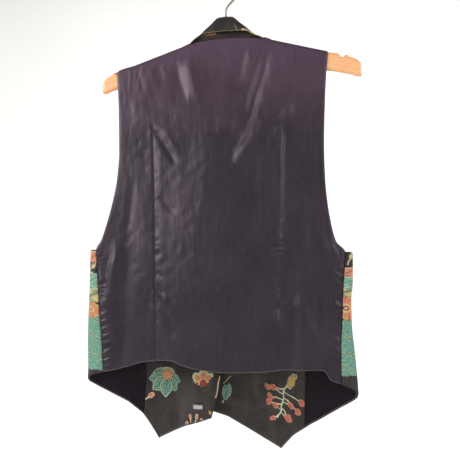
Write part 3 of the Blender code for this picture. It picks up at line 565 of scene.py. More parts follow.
@dataclass
class Panel:
    """A grid of cloth from its hem up, NaN where the panel has none. outward is 1 or -1."""

    points: Array
    flat: Array
    outward: int

    @property
    def cloth(self) -> Array:
        """True where the panel has cloth."""
        return ~np.isnan(self.points[..., 0])

    def normals(self) -> Array:
        """The outward direction at each point."""
        p = self.points
        faces = np.nan_to_num(np.cross(p[1:, 1:] - p[:-1, :-1], p[1:, :-1] - p[:-1, 1:]))
        faces /= np.maximum(np.linalg.norm(faces, axis=-1, keepdims=True), 1e-12)
        total = np.zeros_like(p)
        for rows in (slice(None, -1), slice(1, None)):
            for cols in (slice(None, -1), slice(1, None)):
                total[rows, cols] += faces
        total /= np.maximum(np.linalg.norm(total, axis=-1, keepdims=True), 1e-12)
        return total * self.outward

    def moved(self, distance: Array | float) -> Panel:
        """The panel moved outward, everywhere by one distance or by its own at each point."""
        distance = np.broadcast_to(distance, self.points.shape[:2])[..., None]
        return Panel(self.points + self.normals() * distance, self.flat, self.outward)

    def part(self, rows: slice, cols: slice) -> Panel:
        """A part of the panel."""
        return Panel(self.points[rows, cols].copy(), self.flat[rows, cols].copy(), self.outward)

    def edge_distances(self) -> dict[str, Array]:
        """How far each point lies from the panel's left, right, bottom and top edges along the cloth."""
        found = {}
        for axis, names in ((1, ("left", "right")), (0, ("bottom", "top"))):
            steps = np.linalg.norm(np.diff(self.points, axis=axis), axis=-1)
            steps = np.nan_to_num(steps)
            pad = [(0, 0), (0, 0)]
            pad[axis] = (1, 0)
            along = np.pad(np.cumsum(steps, axis=axis), pad)
            found[names[0]] = along
            found[names[1]] = along.max(axis=axis, keepdims=True) - along
        return found

    def rolled(self, depth: float, width: float, edges: Sequence[str]) -> Panel:
        """The panel with some of its edges turned gently inward, as a pressed seam or hem is."""
        distance = self.edge_distances()
        near = np.min([distance[name] for name in edges], axis=0)
        dip = depth * np.clip(1 - near / width, 0.0, 1.0) ** 2
        return self.moved(-dip)

    def inset(self, left: float, right: float, bottom: float, top: float) -> Panel:
        """The panel with its four edges drawn in by these distances, also where it steps."""
        points = self.points.copy()
        cloth = self.cloth
        for axis, step, distance in ((1, -1, left), (1, 1, right), (0, -1, bottom), (0, 1, top)):
            if not distance:
                continue
            beyond = np.roll(cloth, -step, axis=axis)
            inner = np.roll(self.points, step, axis=axis)
            last = [slice(None), slice(None)]
            last[axis] = 0 if step < 0 else -1
            beyond[tuple(last)] = False
            away = inner - self.points
            length = np.maximum(np.linalg.norm(away, axis=-1, keepdims=True), 1e-9)
            edge = cloth & ~beyond
            points[edge] += (away / length * distance)[edge]
        return Panel(points, self.flat, self.outward)

    def row_at(self, row: int, distances: Array) -> tuple[Array, Array]:
        """Points of a row at distances from its last point, and their places on the cut cloth."""
        held = self.cloth[row]
        line, flat = self.points[row][held][::-1], self.flat[row][held][::-1]
        along = lengths_along(line)
        step = line[0] - line[1]
        step /= np.linalg.norm(step)
        inside = np.maximum(distances, 0.0)
        found = np.stack([np.interp(inside, along, line[:, n]) for n in range(3)], axis=-1)
        found += step * np.maximum(-distances, 0.0)[:, None]
        place = np.stack([np.interp(inside, along, flat[:, n]) for n in range(2)], axis=-1)
        return found, place

    def sewn(self, edge: str, inset: float, behind: float = 0.0, **stitch: float) -> Mesh:
        """A run of stitches along one edge.

        Args:
            edge: left, right, bottom or top.
            inset: how far in from the edge the stitches lie.
            behind: the cloth's thickness, where they lie on its inner face.
            stitch: pitch, length and radius of the stitches.

        Returns:
            The stitches.
        """
        points, normals, away = self.points, self.normals(), self.edge_distances()[edge]
        if edge in ("bottom", "top"):
            points, normals, away = np.swapaxes(points, 0, 1), np.swapaxes(normals, 0, 1), away.T
        line, out = [], []
        for place, way, gaps in zip(points, normals, away):
            held = ~np.isnan(place[:, 0])
            if held.sum() < 3 or gaps[held].max() < 2.2 * inset:
                continue
            place, way, gaps = place[held], way[held], gaps[held]
            order = np.argsort(gaps, kind="stable")
            line.append([np.interp(inset, gaps[order], place[order, n]) for n in range(3)])
            out.append([np.interp(inset, gaps[order], way[order, n]) for n in range(3)])
        line, out = np.array(line), np.array(out)
        if behind:
            line, out = line - out * behind, -out
        return thread(line, out, **stitch)

    def wall(self, thickness: float) -> Mesh:
        """The panel as a thin closed wall of cloth under its outer face."""
        held = self.cloth
        number = np.full(held.shape, -1)
        number[held] = np.arange(held.sum())
        count = int(held.sum())
        quads = np.stack([number[:-1, :-1], number[:-1, 1:], number[1:, 1:], number[1:, :-1]], axis=-1)
        quads = quads.reshape(-1, 4)
        quads = quads[(quads >= 0).all(axis=1)]
        if self.outward < 0:
            quads = quads[:, ::-1]
        starts = quads.ravel()
        ends = np.roll(quads, -1, axis=1).ravel()
        key, reverse = starts * count + ends, ends * count + starts
        open_edge = ~np.isin(key, reverse)
        a, b = starts[open_edge], ends[open_edge]
        rim = np.stack([b, a, a + count, b + count], axis=-1)
        faces = np.concatenate([quads, quads[:, ::-1] + count, rim])
        outer = self.points[held]
        inner = self.moved(-thickness).points[held]
        flat = self.flat[held]
        return Mesh(np.concatenate([outer, inner]), faces.tolist(), np.concatenate([flat, flat]))


def spread(keys: Sequence[float], counts: Sequence[int]) -> Array:
    """Values from the first key to the last, with a count of even steps between each two."""
    parts = [np.linspace(a, b, n, endpoint=False) for a, b, n in zip(keys, keys[1:], counts)]
    return np.concatenate([*parts, [keys[-1]]])


# ---------------------------------------------------------------- finishes


class Value:
    """A number that varies over a surface. Arithmetic on it adds Math nodes."""

    def __init__(self, recipe: Recipe, socket: bpy.types.NodeSocket) -> None:
        """Wraps a node's output."""
        self.recipe = recipe
        self.socket = socket

    def maths(self, operation: str, *others: Number) -> Value:
        """This value and up to two more through one Math node.

        Args:
            operation: the Math node's operation.
            others: its second and third inputs.

        Returns:
            The node's result.
        """
        return self.recipe.maths(operation, self, *others)

    def __add__(self, other: Number) -> Value:
        """Sum."""
        return self.maths("ADD", other)

    def __mul__(self, other: Number) -> Value:
        """Product."""
        return self.maths("MULTIPLY", other)

    def __sub__(self, other: Number) -> Value:
        """Difference."""
        return self.maths("SUBTRACT", other)

    def __truediv__(self, other: Number) -> Value:
        """Quotient."""
        return self.maths("DIVIDE", other)

    def __rsub__(self, other: float) -> Value:
        """Difference from a plain number."""
        return self.recipe.maths("SUBTRACT", other, self)

    def __neg__(self) -> Value:
        """The value with its sign turned."""
        return self * -1.0

    def __abs__(self) -> Value:
        """The value without its sign."""
        return self.maths("ABSOLUTE")

    def __or__(self, other: Number) -> Value:
        """The larger of two values: masks joined."""
        return self.maths("MAXIMUM", other)

    def __and__(self, other: Number) -> Value:
        """The smaller of two values: what masks share."""
        return self.maths("MINIMUM", other)

    __radd__ = __add__
    __rmul__ = __mul__

    def sine(self) -> Value:
        """Sine of the value."""
        return self.maths("SINE")

    def cosine(self) -> Value:
        """Cosine of the value."""
        return self.maths("COSINE")

    def below(self, limit: Number, soft: float = 0.02) -> Value:
        """A mask that is 1 below the limit and 0 above it, with a soft edge."""
        return ((limit - self) / soft + 0.5).clamped()

    def above(self, limit: Number, soft: float = 0.02) -> Value:
        """A mask that is 1 above the limit and 0 below it, with a soft edge."""
        return ((self - limit) / soft + 0.5).clamped()

    def clamped(self) -> Value:
        """The value held between 0 and 1."""
        node = self.socket.node
        if node.bl_idname == "ShaderNodeMath" and not node.outputs[0].is_linked:
            node.use_clamp = True
            return self
        return self.recipe.maths("ADD", self, 0.0).clamped()

    def repeats(self, pitch: float) -> Value:
        """Distance from the nearest of lines one pitch apart, as a share of the pitch."""
        return abs((self / pitch).maths("FRACT") - 0.5)


class Recipe:
    """A material under construction."""

    def __init__(self, name: str) -> None:
        """Starts a material that holds only its shader and output."""
        self.material = bpy.data.materials.new(name)
        self.material.use_nodes = True
        self.tree = self.material.node_tree
        self.shader = self.tree.nodes["Principled BSDF"]

    def node(self, kind: str, settings: dict[str, object] | None = None, **sockets: object) -> bpy.types.Node:
        """Adds a node.

        Args:
            kind: its type, without the leading ShaderNode.
            settings: its own settings, which are set first.
            sockets: values or links of its inputs, with _ for a space in a name.

        Returns:
            The node.
        """
        node = self.tree.nodes.new("ShaderNode" + kind)
        for name, value in (settings or {}).items():
            setattr(node, name, value)
        for name, value in sockets.items():
            self.feed(node.inputs[name.replace("_", " ")], value)
        return node

    def feed(self, target: bpy.types.NodeSocket, value: object) -> None:
        """Links a value to an input, or sets the input to it."""
        if isinstance(value, Value):
            value = value.socket
        if isinstance(value, bpy.types.NodeSocket):
            self.tree.links.new(value, target)
        elif target.type == "RGBA" and len(value) == 3:
            target.default_value = (*value, 1.0)
        else:
            target.default_value = value

    def maths(self, operation: str, *values: Number) -> Value:
        """A Math node on up to three values."""
        node = self.node("Math", {"operation": operation})
        for target, value in zip(node.inputs, values):
            self.feed(target, value)
        return Value(self, node.outputs[0])

    def blend(self, share: Number, a: object, b: object, way: str = "MIX") -> bpy.types.NodeSocket:
        """A colour between two colours."""
        node = self.node("Mix", {"data_type": "RGBA", "blend_type": way})
        for index, value in ((0, share), (6, a), (7, b)):
            self.feed(node.inputs[index], value)
        return node.outputs[2]

    def split(self, vector: bpy.types.NodeSocket) -> tuple[Value, Value, Value]:
        """The three parts of a vector."""
        node = self.node("SeparateXYZ", Vector=vector)
        return tuple(Value(self, socket) for socket in node.outputs)

    def joined(self, x: Number, y: Number, z: Number = 0.0) -> bpy.types.NodeSocket:
        """A vector from three parts."""
        return self.node("CombineXYZ", X=x, Y=y, Z=z).outputs[0]

    def noise(self, place: bpy.types.NodeSocket, scale: float, detail: float = 2.0, rough: float = 0.5) -> Value:
        """Soft noise from 0 to 1 at a place."""
        node = self.node("TexNoise", Vector=place, Scale=scale, Detail=detail, Roughness=rough)
        return Value(self, node.outputs[0])

    def bump(
        self, height: Value, distance: float, strength: float = 1.0, below: object = None
    ) -> bpy.types.NodeSocket:
        """A normal that follows a height, in metres of distance, over another normal."""
        node = self.node("Bump", Height=height, Distance=distance, Strength=strength)
        if below is not None:
            self.feed(node.inputs["Normal"], below)
        return node.outputs[0]

    def done(self, **sockets: object) -> bpy.types.Material:
        """Feeds the shader and gives the finished material."""
        for name, value in sockets.items():
            self.feed(self.shader.inputs[name.replace("_", " ")], value)
        return self.material


@dataclass(frozen=True)
class LiningSatin:
    """Closely woven dark satin with a soft sheen and slight wear, and a painted sheen that makes it lighter and
    purpler towards the top.
    """

    name: str
    deep: Colour
    light: Colour
    worn: Colour
    top_sheen: Colour
    roughness: float = 0.34
    shine: float = 0.3
    thread: float = 0.00045

    def material(self) -> bpy.types.Material:
        """Builds the finish from the cloth's own coordinates."""
        r = Recipe(self.name)
        place = r.node("UVMap", {"uv_map": "cloth"}).outputs[0]
        u, v, _ = r.split(place)
        cloudy = r.noise(place, 14.0, 3.0, 0.55)
        streak = r.noise(r.joined(u * 260.0, v * 14.0), 1.0, 2.0)
        slub = r.noise(r.joined(u * 30.0, v * 900.0), 1.0, 1.0)
        warp = (u * (math.tau / self.thread)).sine()
        weft = (v * (math.tau / (self.thread * 1.4))).sine()
        tone = cloudy * 0.55 + streak * 0.3 + slub * 0.15
        base = r.blend(tone.above(0.5, 0.3), self.deep, self.light)
        # Painted sheen: towards the top of the cloth the colour turns to a lighter purple.
        high = (v + cloudy * 0.14).above(-0.125, 0.15)
        base = r.blend(high, base, self.top_sheen)
        base = r.blend(r.noise(place, 120.0, 2.0).above(0.66, 0.12) * 0.22, base, self.worn)
        small = r.noise(r.joined(u, v * 0.7), 110.0, 3.0, 0.6)
        hang = r.noise(r.joined(u * 34.0, v * 9.0), 1.0, 3.0, 0.55)
        normal = r.bump(hang, 0.005, 0.45)
        normal = r.bump(small, 0.001, 0.45, normal)
        normal = r.bump(warp * 0.4 + weft * 0.6, 0.00006, 0.5, normal)
        return r.done(
            Base_Color=base,
            Roughness=self.roughness + (tone - 0.5) * 0.16,
            Normal=normal,
            Sheen_Weight=0.02,
            Sheen_Roughness=0.4,
            Sheen_Tint=(0.62, 0.52, 0.66),
            Specular_IOR_Level=self.shine,
            Specular_Tint=(1.0, 0.84, 1.0),
        )


AUBERGINE = LiningSatin(
    "aubergine_satin", (0.01, 0.007, 0.011), (0.022, 0.016, 0.023), (0.052, 0.04, 0.052), (0.055, 0.032, 0.05)
)
# A near-black copy of the satin for the linings: painted shade for the hollow inside the fronts, under the back.
SHADED_LINING_SATIN = LiningSatin(
    "lining_satin_painted_shade",
    (0.004, 0.003, 0.004), (0.008, 0.006, 0.009), (0.014, 0.011, 0.015), (0.008, 0.006, 0.008),
    0.5, 0.1,
)


class Woven(IntEnum):
    """The kinds of motif that the brocade has."""

    BROAD_LEAF = 1
    BLOSSOM = 2
    LEAF = 3
    BERRIES = 4
    CLUSTER = 5
    BUD = 6
    HUSK = 7
    STALK = 8
    PEACH_FIELD = 9
    GREEN_FIELD = 10
    GOLD_FIELD = 11
    FLOWER_FIELD = 12
    HEADED_STALK = 13
    SIDE_FLOWER = 14


Layers = list[tuple["Value", object]]


@dataclass(frozen=True)
class FloralBrocade:
    """Near-black brocade, ribbed across, with flowers and leaves woven in teal, coral and gold."""

    name: str = "floral_brocade"
    ground: Colour = (0.0065, 0.0048, 0.005)
    ground_light: Colour = (0.07, 0.051, 0.043)
    teal_deep: Colour = (0.055, 0.15, 0.115)
    teal: Colour = (0.19, 0.39, 0.3)
    pale_green: Colour = (0.38, 0.48, 0.28)
    grey_green: Colour = (0.2, 0.27, 0.17)
    coral: Colour = (0.44, 0.085, 0.06)
    coral_deep: Colour = (0.24, 0.035, 0.03)
    peach: Colour = (0.56, 0.26, 0.13)
    blush: Colour = (0.5, 0.19, 0.105)
    yellow: Colour = (0.56, 0.42, 0.17)
    gold: Colour = (0.3, 0.17, 0.055)
    cream: Colour = (0.56, 0.5, 0.33)
    rib: float = 0.0011

    def material(self) -> bpy.types.Material:
        """Builds the finish from the cloth's coordinates and those of its nearest motif."""
        r = Recipe(self.name)
        place = r.node("UVMap", {"uv_map": "cloth"}).outputs[0]
        u, v, _ = r.split(place)
        motif = r.node("Attribute", {"attribute_name": "motif"}).outputs["Vector"]
        x, y, kind = r.split(motif)
        stray = r.noise(place, 85.0, 2.0) - 0.5
        sway = r.noise(r.joined(v, u), 85.0, 2.0) - 0.5
        ragged = r.noise(r.joined(u * 700.0, v * 1100.0), 1.0, 1.0) - 0.5
        x, y = x + stray * 0.14 + ragged * 0.05, y + sway * 0.14 + ragged * 0.05
        mottle = r.noise(r.joined(u * 420.0, v * 800.0), 1.0, 3.0, 0.65)
        cloud = r.noise(place, 26.0, 3.0, 0.6)
        ribs = (v * (math.tau / self.rib)).sine()
        slub = r.noise(r.joined(u * 60.0, v * 1300.0), 1.0, 1.0)
        # Lighter long upright streaks and patches, mixed into the ground with the cloudy and slubbed tone.
        pale_streaks = r.noise(r.joined(u * 34.0, v * 13.0), 1.0, 3.0, 0.6).above(0.6, 0.24)
        shade = cloud.above(0.55, 0.3) * 0.3 + slub.above(0.55, 0.3) * 0.26 + pale_streaks * 0.44
        base = r.blend(shade, self.ground, self.ground_light)
        woven: Value = kind * 0.0
        for number, layers in self.motifs(r, x, y, mottle):
            here = 1.0 - abs(kind - float(number)).above(0.5, 0.02)
            for mask, colour in layers:
                base = r.blend(mask * here, base, colour)
            woven = woven | (layers[0][0] * here)
        gaps = mottle.below(0.4, 0.1) * woven * 0.55
        base = r.blend(gaps, base, self.ground)
        threads = (u * (math.tau / 0.0009)).sine() * (v * (math.tau / 0.0007)).sine()
        raised = ribs * 0.35 * (1.0 - woven) + (threads * 0.3 + mottle * 0.9 + 0.5) * woven
        base = r.blend(0.3, base, r.blend(ribs * 0.5 + 0.5, (0.25, 0.25, 0.25), (1, 1, 1)), "MULTIPLY")
        return r.done(
            Base_Color=base,
            Roughness=0.52 + woven * 0.06 + (cloud - 0.5) * 0.16,
            Normal=r.bump(raised, 0.00035, 0.7),
            Sheen_Weight=0.02,
            Sheen_Roughness=0.5,
            Specular_IOR_Level=0.26,
        )

    def motifs(self, r: Recipe, x: Value, y: Value, mottle: Value) -> Iterable[tuple[Woven, Layers]]:
        """The layers of each kind of motif.

        Args:
            r: the material's recipe.
            x, y: the place, from the motif's middle and in its half size.
            mottle: fine noise for the threads.

        Returns:
            Each kind with its masks and colours, from the lowest layer up.
        """
        flecks = r.noise(r.node("UVMap", {"uv_map": "cloth"}).outputs[0], 330.0, 3.0, 0.7)
        teal = r.blend((mottle * 0.35 + flecks * 0.65).above(0.49, 0.16), self.teal_deep, self.teal)
        yield Woven.BROAD_LEAF, self.broad_leaf(x, y, teal)
        yield Woven.BLOSSOM, self.blossom(r, x, y, mottle)
        yield Woven.LEAF, self.leaf(x, y, 0.46, teal, self.pale_green)
        yield Woven.BERRIES, self.berries(r, x, y, mottle)
        rough = ((x * 7.0 + y * 3.0).sine() + (y * 8.0 - x * 2.0).sine()) * 0.035
        patch = (abs(x * 0.92 + y * 0.08) * abs(x) * 1.3 + abs(y * 0.86 - 0.05) * abs(y) * 1.25).maths("SQRT") + rough
        spray: Layers = []
        for turn, size in ((70, 0.44), (250, 0.5), (105, 0.6), (215, 0.58), (140, 0.66), (180, 0.7)):
            away, down = math.sin(math.radians(turn)) * size, math.cos(math.radians(turn)) * size
            edge = self.pale_green if turn % 20 else self.cream
            spray += self.leaf(*self.turned(x - 0.16 + away, y - 0.3 - down, turn, size), 0.56, teal, edge)
        yield Woven.CLUSTER, [
            (patch.below(0.86, 0.03), self.pale_green),
            (patch.below(0.81, 0.03), r.blend(mottle.above(0.5, 0.2), teal, self.pale_green)),
            *spray,
            *self.blossom(r, (x - 0.2) / 0.4, (y - 0.36) / 0.4, mottle),
        ]
        cup = ((x * x) / 0.11 + ((y - 0.34) * (y - 0.34)) / 0.28).maths("SQRT")
        stem = abs(x + y * y * 0.16).below(0.11, 0.04) & y.below(0.0, 0.05) & y.above(-1.0, 0.05)
        yield Woven.BUD, [
            (cup.below(1.0, 0.1) | stem, self.cream),
            (cup.below(0.86, 0.1), self.peach),
            (cup.below(0.66, 0.12) & (x * 11.0 + y * 2.0).sine().below(0.3, 0.6), self.coral),
        ]
        husk = ((x * x) / 0.3 + (y * y) / 0.92).maths("SQRT")
        scales = (y * 0.9 + abs(x) * 0.8).repeats(0.3)
        yield Woven.HUSK, [
            (husk.below(1.0, 0.05), self.gold),
            (husk.below(0.94, 0.05) & scales.above(0.26, 0.12) & mottle.above(0.42, 0.1), self.yellow),
            (husk.below(0.94, 0.05) & scales.below(0.07, 0.05), self.ground),
        ]
        for kind, one, other in (
            (Woven.PEACH_FIELD, self.peach, self.blush),
            (Woven.GREEN_FIELD, self.grey_green, self.teal),
            (Woven.GOLD_FIELD, self.yellow, self.grey_green),
        ):
            swirl = (x * 3.0 + (y * 3.4).sine() * 1.4 + mottle * 3.0).sine()
            yield kind, [
                (abs(x).below(1.6, 0.02) & abs(y).below(1.02, 0.02), r.blend(swirl.above(0.2, 0.7), one, other)),
                (abs(y - 0.86 + (x * 5.0).sine() * 0.05).below(0.07, 0.03), self.cream),
                (abs(y + x * 0.5 + (x * 4.0).sine() * 0.12).below(0.05, 0.03), self.ground),
            ]
        yield Woven.FLOWER_FIELD, [
            (abs(x).below(1.6, 0.02) & abs(y).below(1.02, 0.02), self.yellow),
            *self.blossom(r, x * 0.86, y * 0.86, mottle),
        ]
        span = (x * x + (y + 0.95) * (y + 0.95)).maths("SQRT")
        spread_out = r.maths("ARCTAN2", x, y + 0.95)
        petals = abs((spread_out * 3.5).cosine())
        fan = petals * 0.34 + 1.22 - span
        ray = (spread_out * 26.0 + y * 3.0).sine()
        yield Woven.SIDE_FLOWER, [
            (fan.above(0.0, 0.04), self.pale_green),
            (fan.above(0.12, 0.05), r.blend(ray.above(0.0, 0.7), self.cream, self.yellow)),
            (fan.above(0.36, 0.12), r.blend(ray.above(0.1, 0.7), self.peach, self.coral)),
            (petals.below(0.16, 0.06) & fan.above(0.05, 0.05) & span.above(0.5, 0.05), self.pale_green),
            (span.below(0.52, 0.05), self.yellow),
            (span.below(0.42, 0.05), self.coral_deep),
        ]
        bent = x + (y * 2.6).sine() * 0.05
        yield Woven.STALK, [
            (abs(bent).below(0.062, 0.02) & abs(y).below(0.97, 0.03), self.gold),
            (abs(bent).below(0.04, 0.02) & abs(y).below(0.95, 0.03), self.cream),
        ]
        twig = abs(bent).below(0.06, 0.03) | abs(abs(x) - (y - 0.2) * 0.5).below(0.05, 0.03) & y.above(0.2, 0.03)
        yield Woven.HEADED_STALK, [
            (twig & abs(y).below(0.95, 0.03), self.cream),
            ((x * x + (y - 0.1) * (y - 0.1)).maths("SQRT").below(0.24, 0.05), self.yellow),
        ]

    @staticmethod
    def turned(x: Value, y: Value, degrees: float, size: float) -> tuple[Value, Value]:
        """Coordinates for a smaller shape that is turned about this place."""
        cosine, sine = math.cos(math.radians(degrees)) / size, math.sin(math.radians(degrees)) / size
        return x * cosine + y * sine, y * cosine - x * sine

    def leaf(self, x: Value, y: Value, width: float, body: object, edge: Colour) -> Layers:
        """A pointed leaf along y with a dark outline, a pale edge, a midrib and side veins."""
        inside = (1.0 - y * y) * width - abs(x)
        veins = (y + abs(x) * 0.9).repeats(0.3)
        return [
            (inside.above(-0.05, 0.02), self.ground),
            (inside.above(0.0, 0.02), edge),
            (inside.above(0.055, 0.02), body),
            (inside.above(0.075, 0.02) & (veins.below(0.075, 0.06) | abs(x).below(0.02, 0.015)), self.ground),
        ]

    def broad_leaf(self, x: Value, y: Value, body: object) -> Layers:
        """A broad leaf cut straight at both ends, with evenly spaced veins edged in pale green."""
        inside = (abs(x) | abs(y)).below(0.95, 0.02)
        vein = (y - x * 0.5 - x * x * 0.12).repeats(0.62)
        return [
            (inside, body),
            (inside & vein.below(0.075, 0.03), self.pale_green),
            (inside & vein.below(0.03, 0.02), self.ground),
        ]

    def blossom(self, r: Recipe, x: Value, y: Value, mottle: Value) -> Layers:
        """A five-petalled flower with yellow outlines and a ringed eye."""
        radius = (x * x + y * y).maths("SQRT")
        angle = r.maths("ARCTAN2", x, y)
        lobes = abs((angle * 2.5).cosine())
        inside = lobes * 0.3 + 0.66 - radius
        strokes = (angle * 15.0 + radius * 9.0).sine().above(0.1, 0.8)
        flesh = r.blend(strokes & mottle.above(0.44, 0.16), self.peach, self.coral)
        return [
            (inside.above(-0.04, 0.02), self.ground),
            (inside.above(0.0, 0.02), self.yellow),
            (inside.above(0.07, 0.03), flesh),
            (inside.above(0.02, 0.05) & lobes.below(0.13, 0.06) & radius.above(0.3, 0.05), self.yellow),
            (inside.above(0.02, 0.05) & lobes.below(0.05, 0.04) & radius.above(0.3, 0.05), self.coral_deep),
            (abs(radius - 0.27).below(0.075, 0.03), self.yellow),
            (radius.below(0.19, 0.03), self.coral_deep),
            (radius.below(0.09, 0.03), self.cream),
        ]

    @staticmethod
    def stroke(x: Value, y: Value, ends: Sequence[float], half_width: float) -> Value:
        """A straight stroke of thread between two places, given as x, y, x, y."""
        x0, y0, x1, y1 = ends
        run, rise = x1 - x0, y1 - y0
        share = (((x - x0) * run + (y - y0) * rise) / (run * run + rise * rise)).clamped()
        across, up = x - x0 - share * run, y - y0 - share * rise
        return (across * across + up * up).maths("SQRT").below(half_width, 0.014)

    def berries(self, r: Recipe, x: Value, y: Value, mottle: Value) -> Layers:
        """A spray: a stem with twigs to either side in turn, a round berry at each tip and a gold husk on top."""
        bent = x + (y * 3.2).sine() * 0.1
        stems = self.stroke(bent, y, (0.0, 0.5, 0.0, -0.66), 0.024)
        berries, hearts = y * 0.0, y * 0.0
        for twig in range(11):
            start = 0.34 - twig * 0.09
            tip_x = (0.6 - 0.04 * twig + 0.12 * math.sin(twig * 2.3)) * (-1.0) ** (twig + 1)
            tip_y, size = start - 0.1 - 0.14 * math.cos(twig * 1.9), 0.1 + 0.012 * math.sin(twig * 3.1)
            stems = stems | self.stroke(bent, y, (0.0, start, tip_x, tip_y), 0.018)
            across, up = bent - tip_x, y - tip_y
            gap = (across * across + up * up).maths("SQRT") + (across * 40.0 + up * 25.0).sine() * 0.008
            berries = berries | gap.below(size, 0.02)
            hearts = hearts | (gap.below(size * 0.5, 0.02) & gap.above(size * 0.2, 0.02))
        husk = ((x * x) / 0.012 + ((y - 0.72) * (y - 0.72)) / 0.085).maths("SQRT")
        tips = husk + (x * 40.0).cosine() * 0.12
        return [
            (stems | berries | tips.below(1.05, 0.06), self.cream),
            (stems & mottle.above(0.52, 0.1), self.pale_green),
            (berries & mottle.above(0.34, 0.1), self.blush),
            (berries & mottle.above(0.5, 0.12), self.coral),
            (hearts & mottle.above(0.44, 0.1), self.coral_deep),
            (tips.below(0.93, 0.08), self.gold),
            (tips.below(0.75, 0.1) & mottle.above(0.5, 0.1), self.yellow),
        ]


@dataclass(frozen=True)
class VarnishedBeech:
    """Pale orange-brown varnished beech with a fine long grain."""

    name: str = "varnished_beech"
    pale: Colour = (0.78, 0.4, 0.19)
    dark: Colour = (0.64, 0.3, 0.13)
    fleck: Colour = (0.38, 0.15, 0.06)

    def material(self) -> bpy.types.Material:
        """Builds the finish along the board's arms."""
        r = Recipe(self.name)
        place = r.node("TexCoord").outputs["Object"]
        x, y, z = r.split(place)
        along, up = abs(x), z + abs(x) * 0.292
        wander = r.noise(r.joined(along * 6.0, y * 40.0, up * 40.0), 1.0, 2.0)
        rings = r.noise(r.joined(along * 3.0, y * 160.0, up * 210.0 + wander * 6.0), 1.0, 3.0, 0.6)
        pores = r.noise(r.joined(along * 60.0, y * 1500.0, up * 1500.0), 1.0, 1.0)
        base = r.blend(rings.above(0.5, 0.45), self.pale, self.dark)
        base = r.blend(pores.above(0.66, 0.08) * 0.5, base, self.fleck)
        smudge = r.noise(place, 18.0, 3.0, 0.6)
        return r.done(
            Base_Color=r.blend(smudge.above(0.62, 0.3) * 0.25, base, self.dark),
            Roughness=smudge * 0.18 + 0.34,
            Normal=r.bump(rings * 0.4 - pores.above(0.66, 0.08), 0.00008, 0.5),
            Coat_Weight=0.35,
            Coat_Roughness=0.22,
        )


@dataclass(frozen=True)
class BrightWire:
    """Plated steel wire with faint drawing lines and a little tarnish."""

    name: str = "bright_wire"
    bright: Colour = (0.25, 0.24, 0.235)
    dull: Colour = (0.12, 0.11, 0.1)

    def material(self) -> bpy.types.Material:
        """Builds the finish."""
        r = Recipe(self.name)
        place = r.node("TexCoord").outputs["Object"]
        cloud = r.noise(place, 90.0, 4.0, 0.65)
        fine = r.noise(place, 1400.0, 2.0)
        return r.done(
            Base_Color=r.blend(cloud.above(0.58, 0.25) * 0.7, self.bright, self.dull),
            Roughness=cloud * 0.22 + fine * 0.08 + 0.24,
            Metallic=1.0,
            Normal=r.bump(fine, 0.00003, 0.4),
        )


@dataclass(frozen=True)
class DarkHorn:
    """Polished near-black horn with faint brown streaks."""

    name: str = "dark_button"
    deep: Colour = (0.014, 0.011, 0.01)
    brown: Colour = (0.06, 0.034, 0.02)

    def material(self) -> bpy.types.Material:
        """Builds the finish."""
        r = Recipe(self.name)
        x, y, z = r.split(r.node("TexCoord").outputs["Object"])
        streak = r.noise(r.joined(x * 260.0, y * 260.0, z * 900.0), 1.0, 3.0, 0.6)
        return r.done(
            Base_Color=r.blend(streak.above(0.56, 0.2), self.deep, self.brown),
            Roughness=streak * 0.2 + 0.22,
            Normal=r.bump(streak, 0.00006, 0.3),
        )


@dataclass(frozen=True)
class SewingThread:
    """Twisted sewing thread."""

    name: str
    colour: Colour
    light: Colour

    def material(self) -> bpy.types.Material:
        """Builds the finish."""
        r = Recipe(self.name)
        x, y, z = r.split(r.node("TexCoord").outputs["Object"])
        twist = ((x + z + y * 0.5) * (math.tau / 0.0007)).sine() * 0.5 + 0.5
        return r.done(
            Base_Color=r.blend(twist, self.colour, self.light),
            Roughness=twist * 0.1 + 0.5,
            Normal=r.bump(twist, 0.0001, 0.5),
        )


@dataclass(frozen=True)
class WovenTape:
    """A small tape label, dark with a pale plain panel and no lettering."""

    name: str = "woven_label"
    dark: Colour = (0.03, 0.029, 0.031)
    pale: Colour = (0.4, 0.38, 0.4)
    half_width: float = 0.0095
    half_height: float = 0.0048

    def material(self) -> bpy.types.Material:
        """Builds the finish from the tape's own coordinates."""
        r = Recipe(self.name)
        u, v, _ = r.split(r.node("UVMap", {"uv_map": "cloth"}).outputs[0])
        inside = abs(u).below(self.half_width * 0.8, 0.0005) & abs(v).below(self.half_height * 0.66, 0.0005)
        rib = (v * (math.tau / 0.0006)).sine() * 0.5 + 0.5
        fuzz = r.noise(r.joined(u * 900.0, v * 1500.0), 1.0, 2.0)
        shade = inside * (fuzz - 0.5).above(-0.06, 0.16)
        return r.done(
            Base_Color=r.blend(shade, self.dark, self.pale),
            Roughness=fuzz * 0.1 + 0.6,
            Normal=r.bump(rib + fuzz, 0.0001, 0.6),
        )


@dataclass(frozen=True)
class PaleStudio:
    """The plain pale surround."""

    name: str = "pale_surround"
    pale: Colour = (0.8, 0.8, 0.79)

    def material(self) -> bpy.types.Material:
        """Builds the finish."""
        r = Recipe(self.name)
        cloud = r.noise(r.node("TexCoord").outputs["Object"], 2.0, 3.0)
        return r.done(Base_Color=r.blend(cloud, self.pale, (0.76, 0.76, 0.75)), Roughness=0.85)


# ---------------------------------------------------------------- how a piece joins the part


@dataclass(frozen=True)
class Cut:
    """The flat cut of a sheet of cloth: its width and length, and its own area."""

    width: float
    length: float
    area: float


def dress(
    piece: bpy.types.Object,
    slot: str,
    nodes: Sequence[str] = (),
    cut: Cut | None = None,
) -> bpy.types.Object:
    """Fits a piece to the frame and reports it.

    Args:
        piece: the new piece.
        slot: the record's material slot.
        nodes: the CAD nodes that it stands for.
        cut: its flat cut, where it is cloth; it is not used.

    Returns:
        The piece.
    """
    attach(piece, "root")
    if nodes:
        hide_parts(*nodes)
    triangles = sum(len(face.vertices) - 2 for face in piece.data.polygons)
    log.info("%s: %d triangles, slot %s", piece.name, triangles, slot)
    return piece


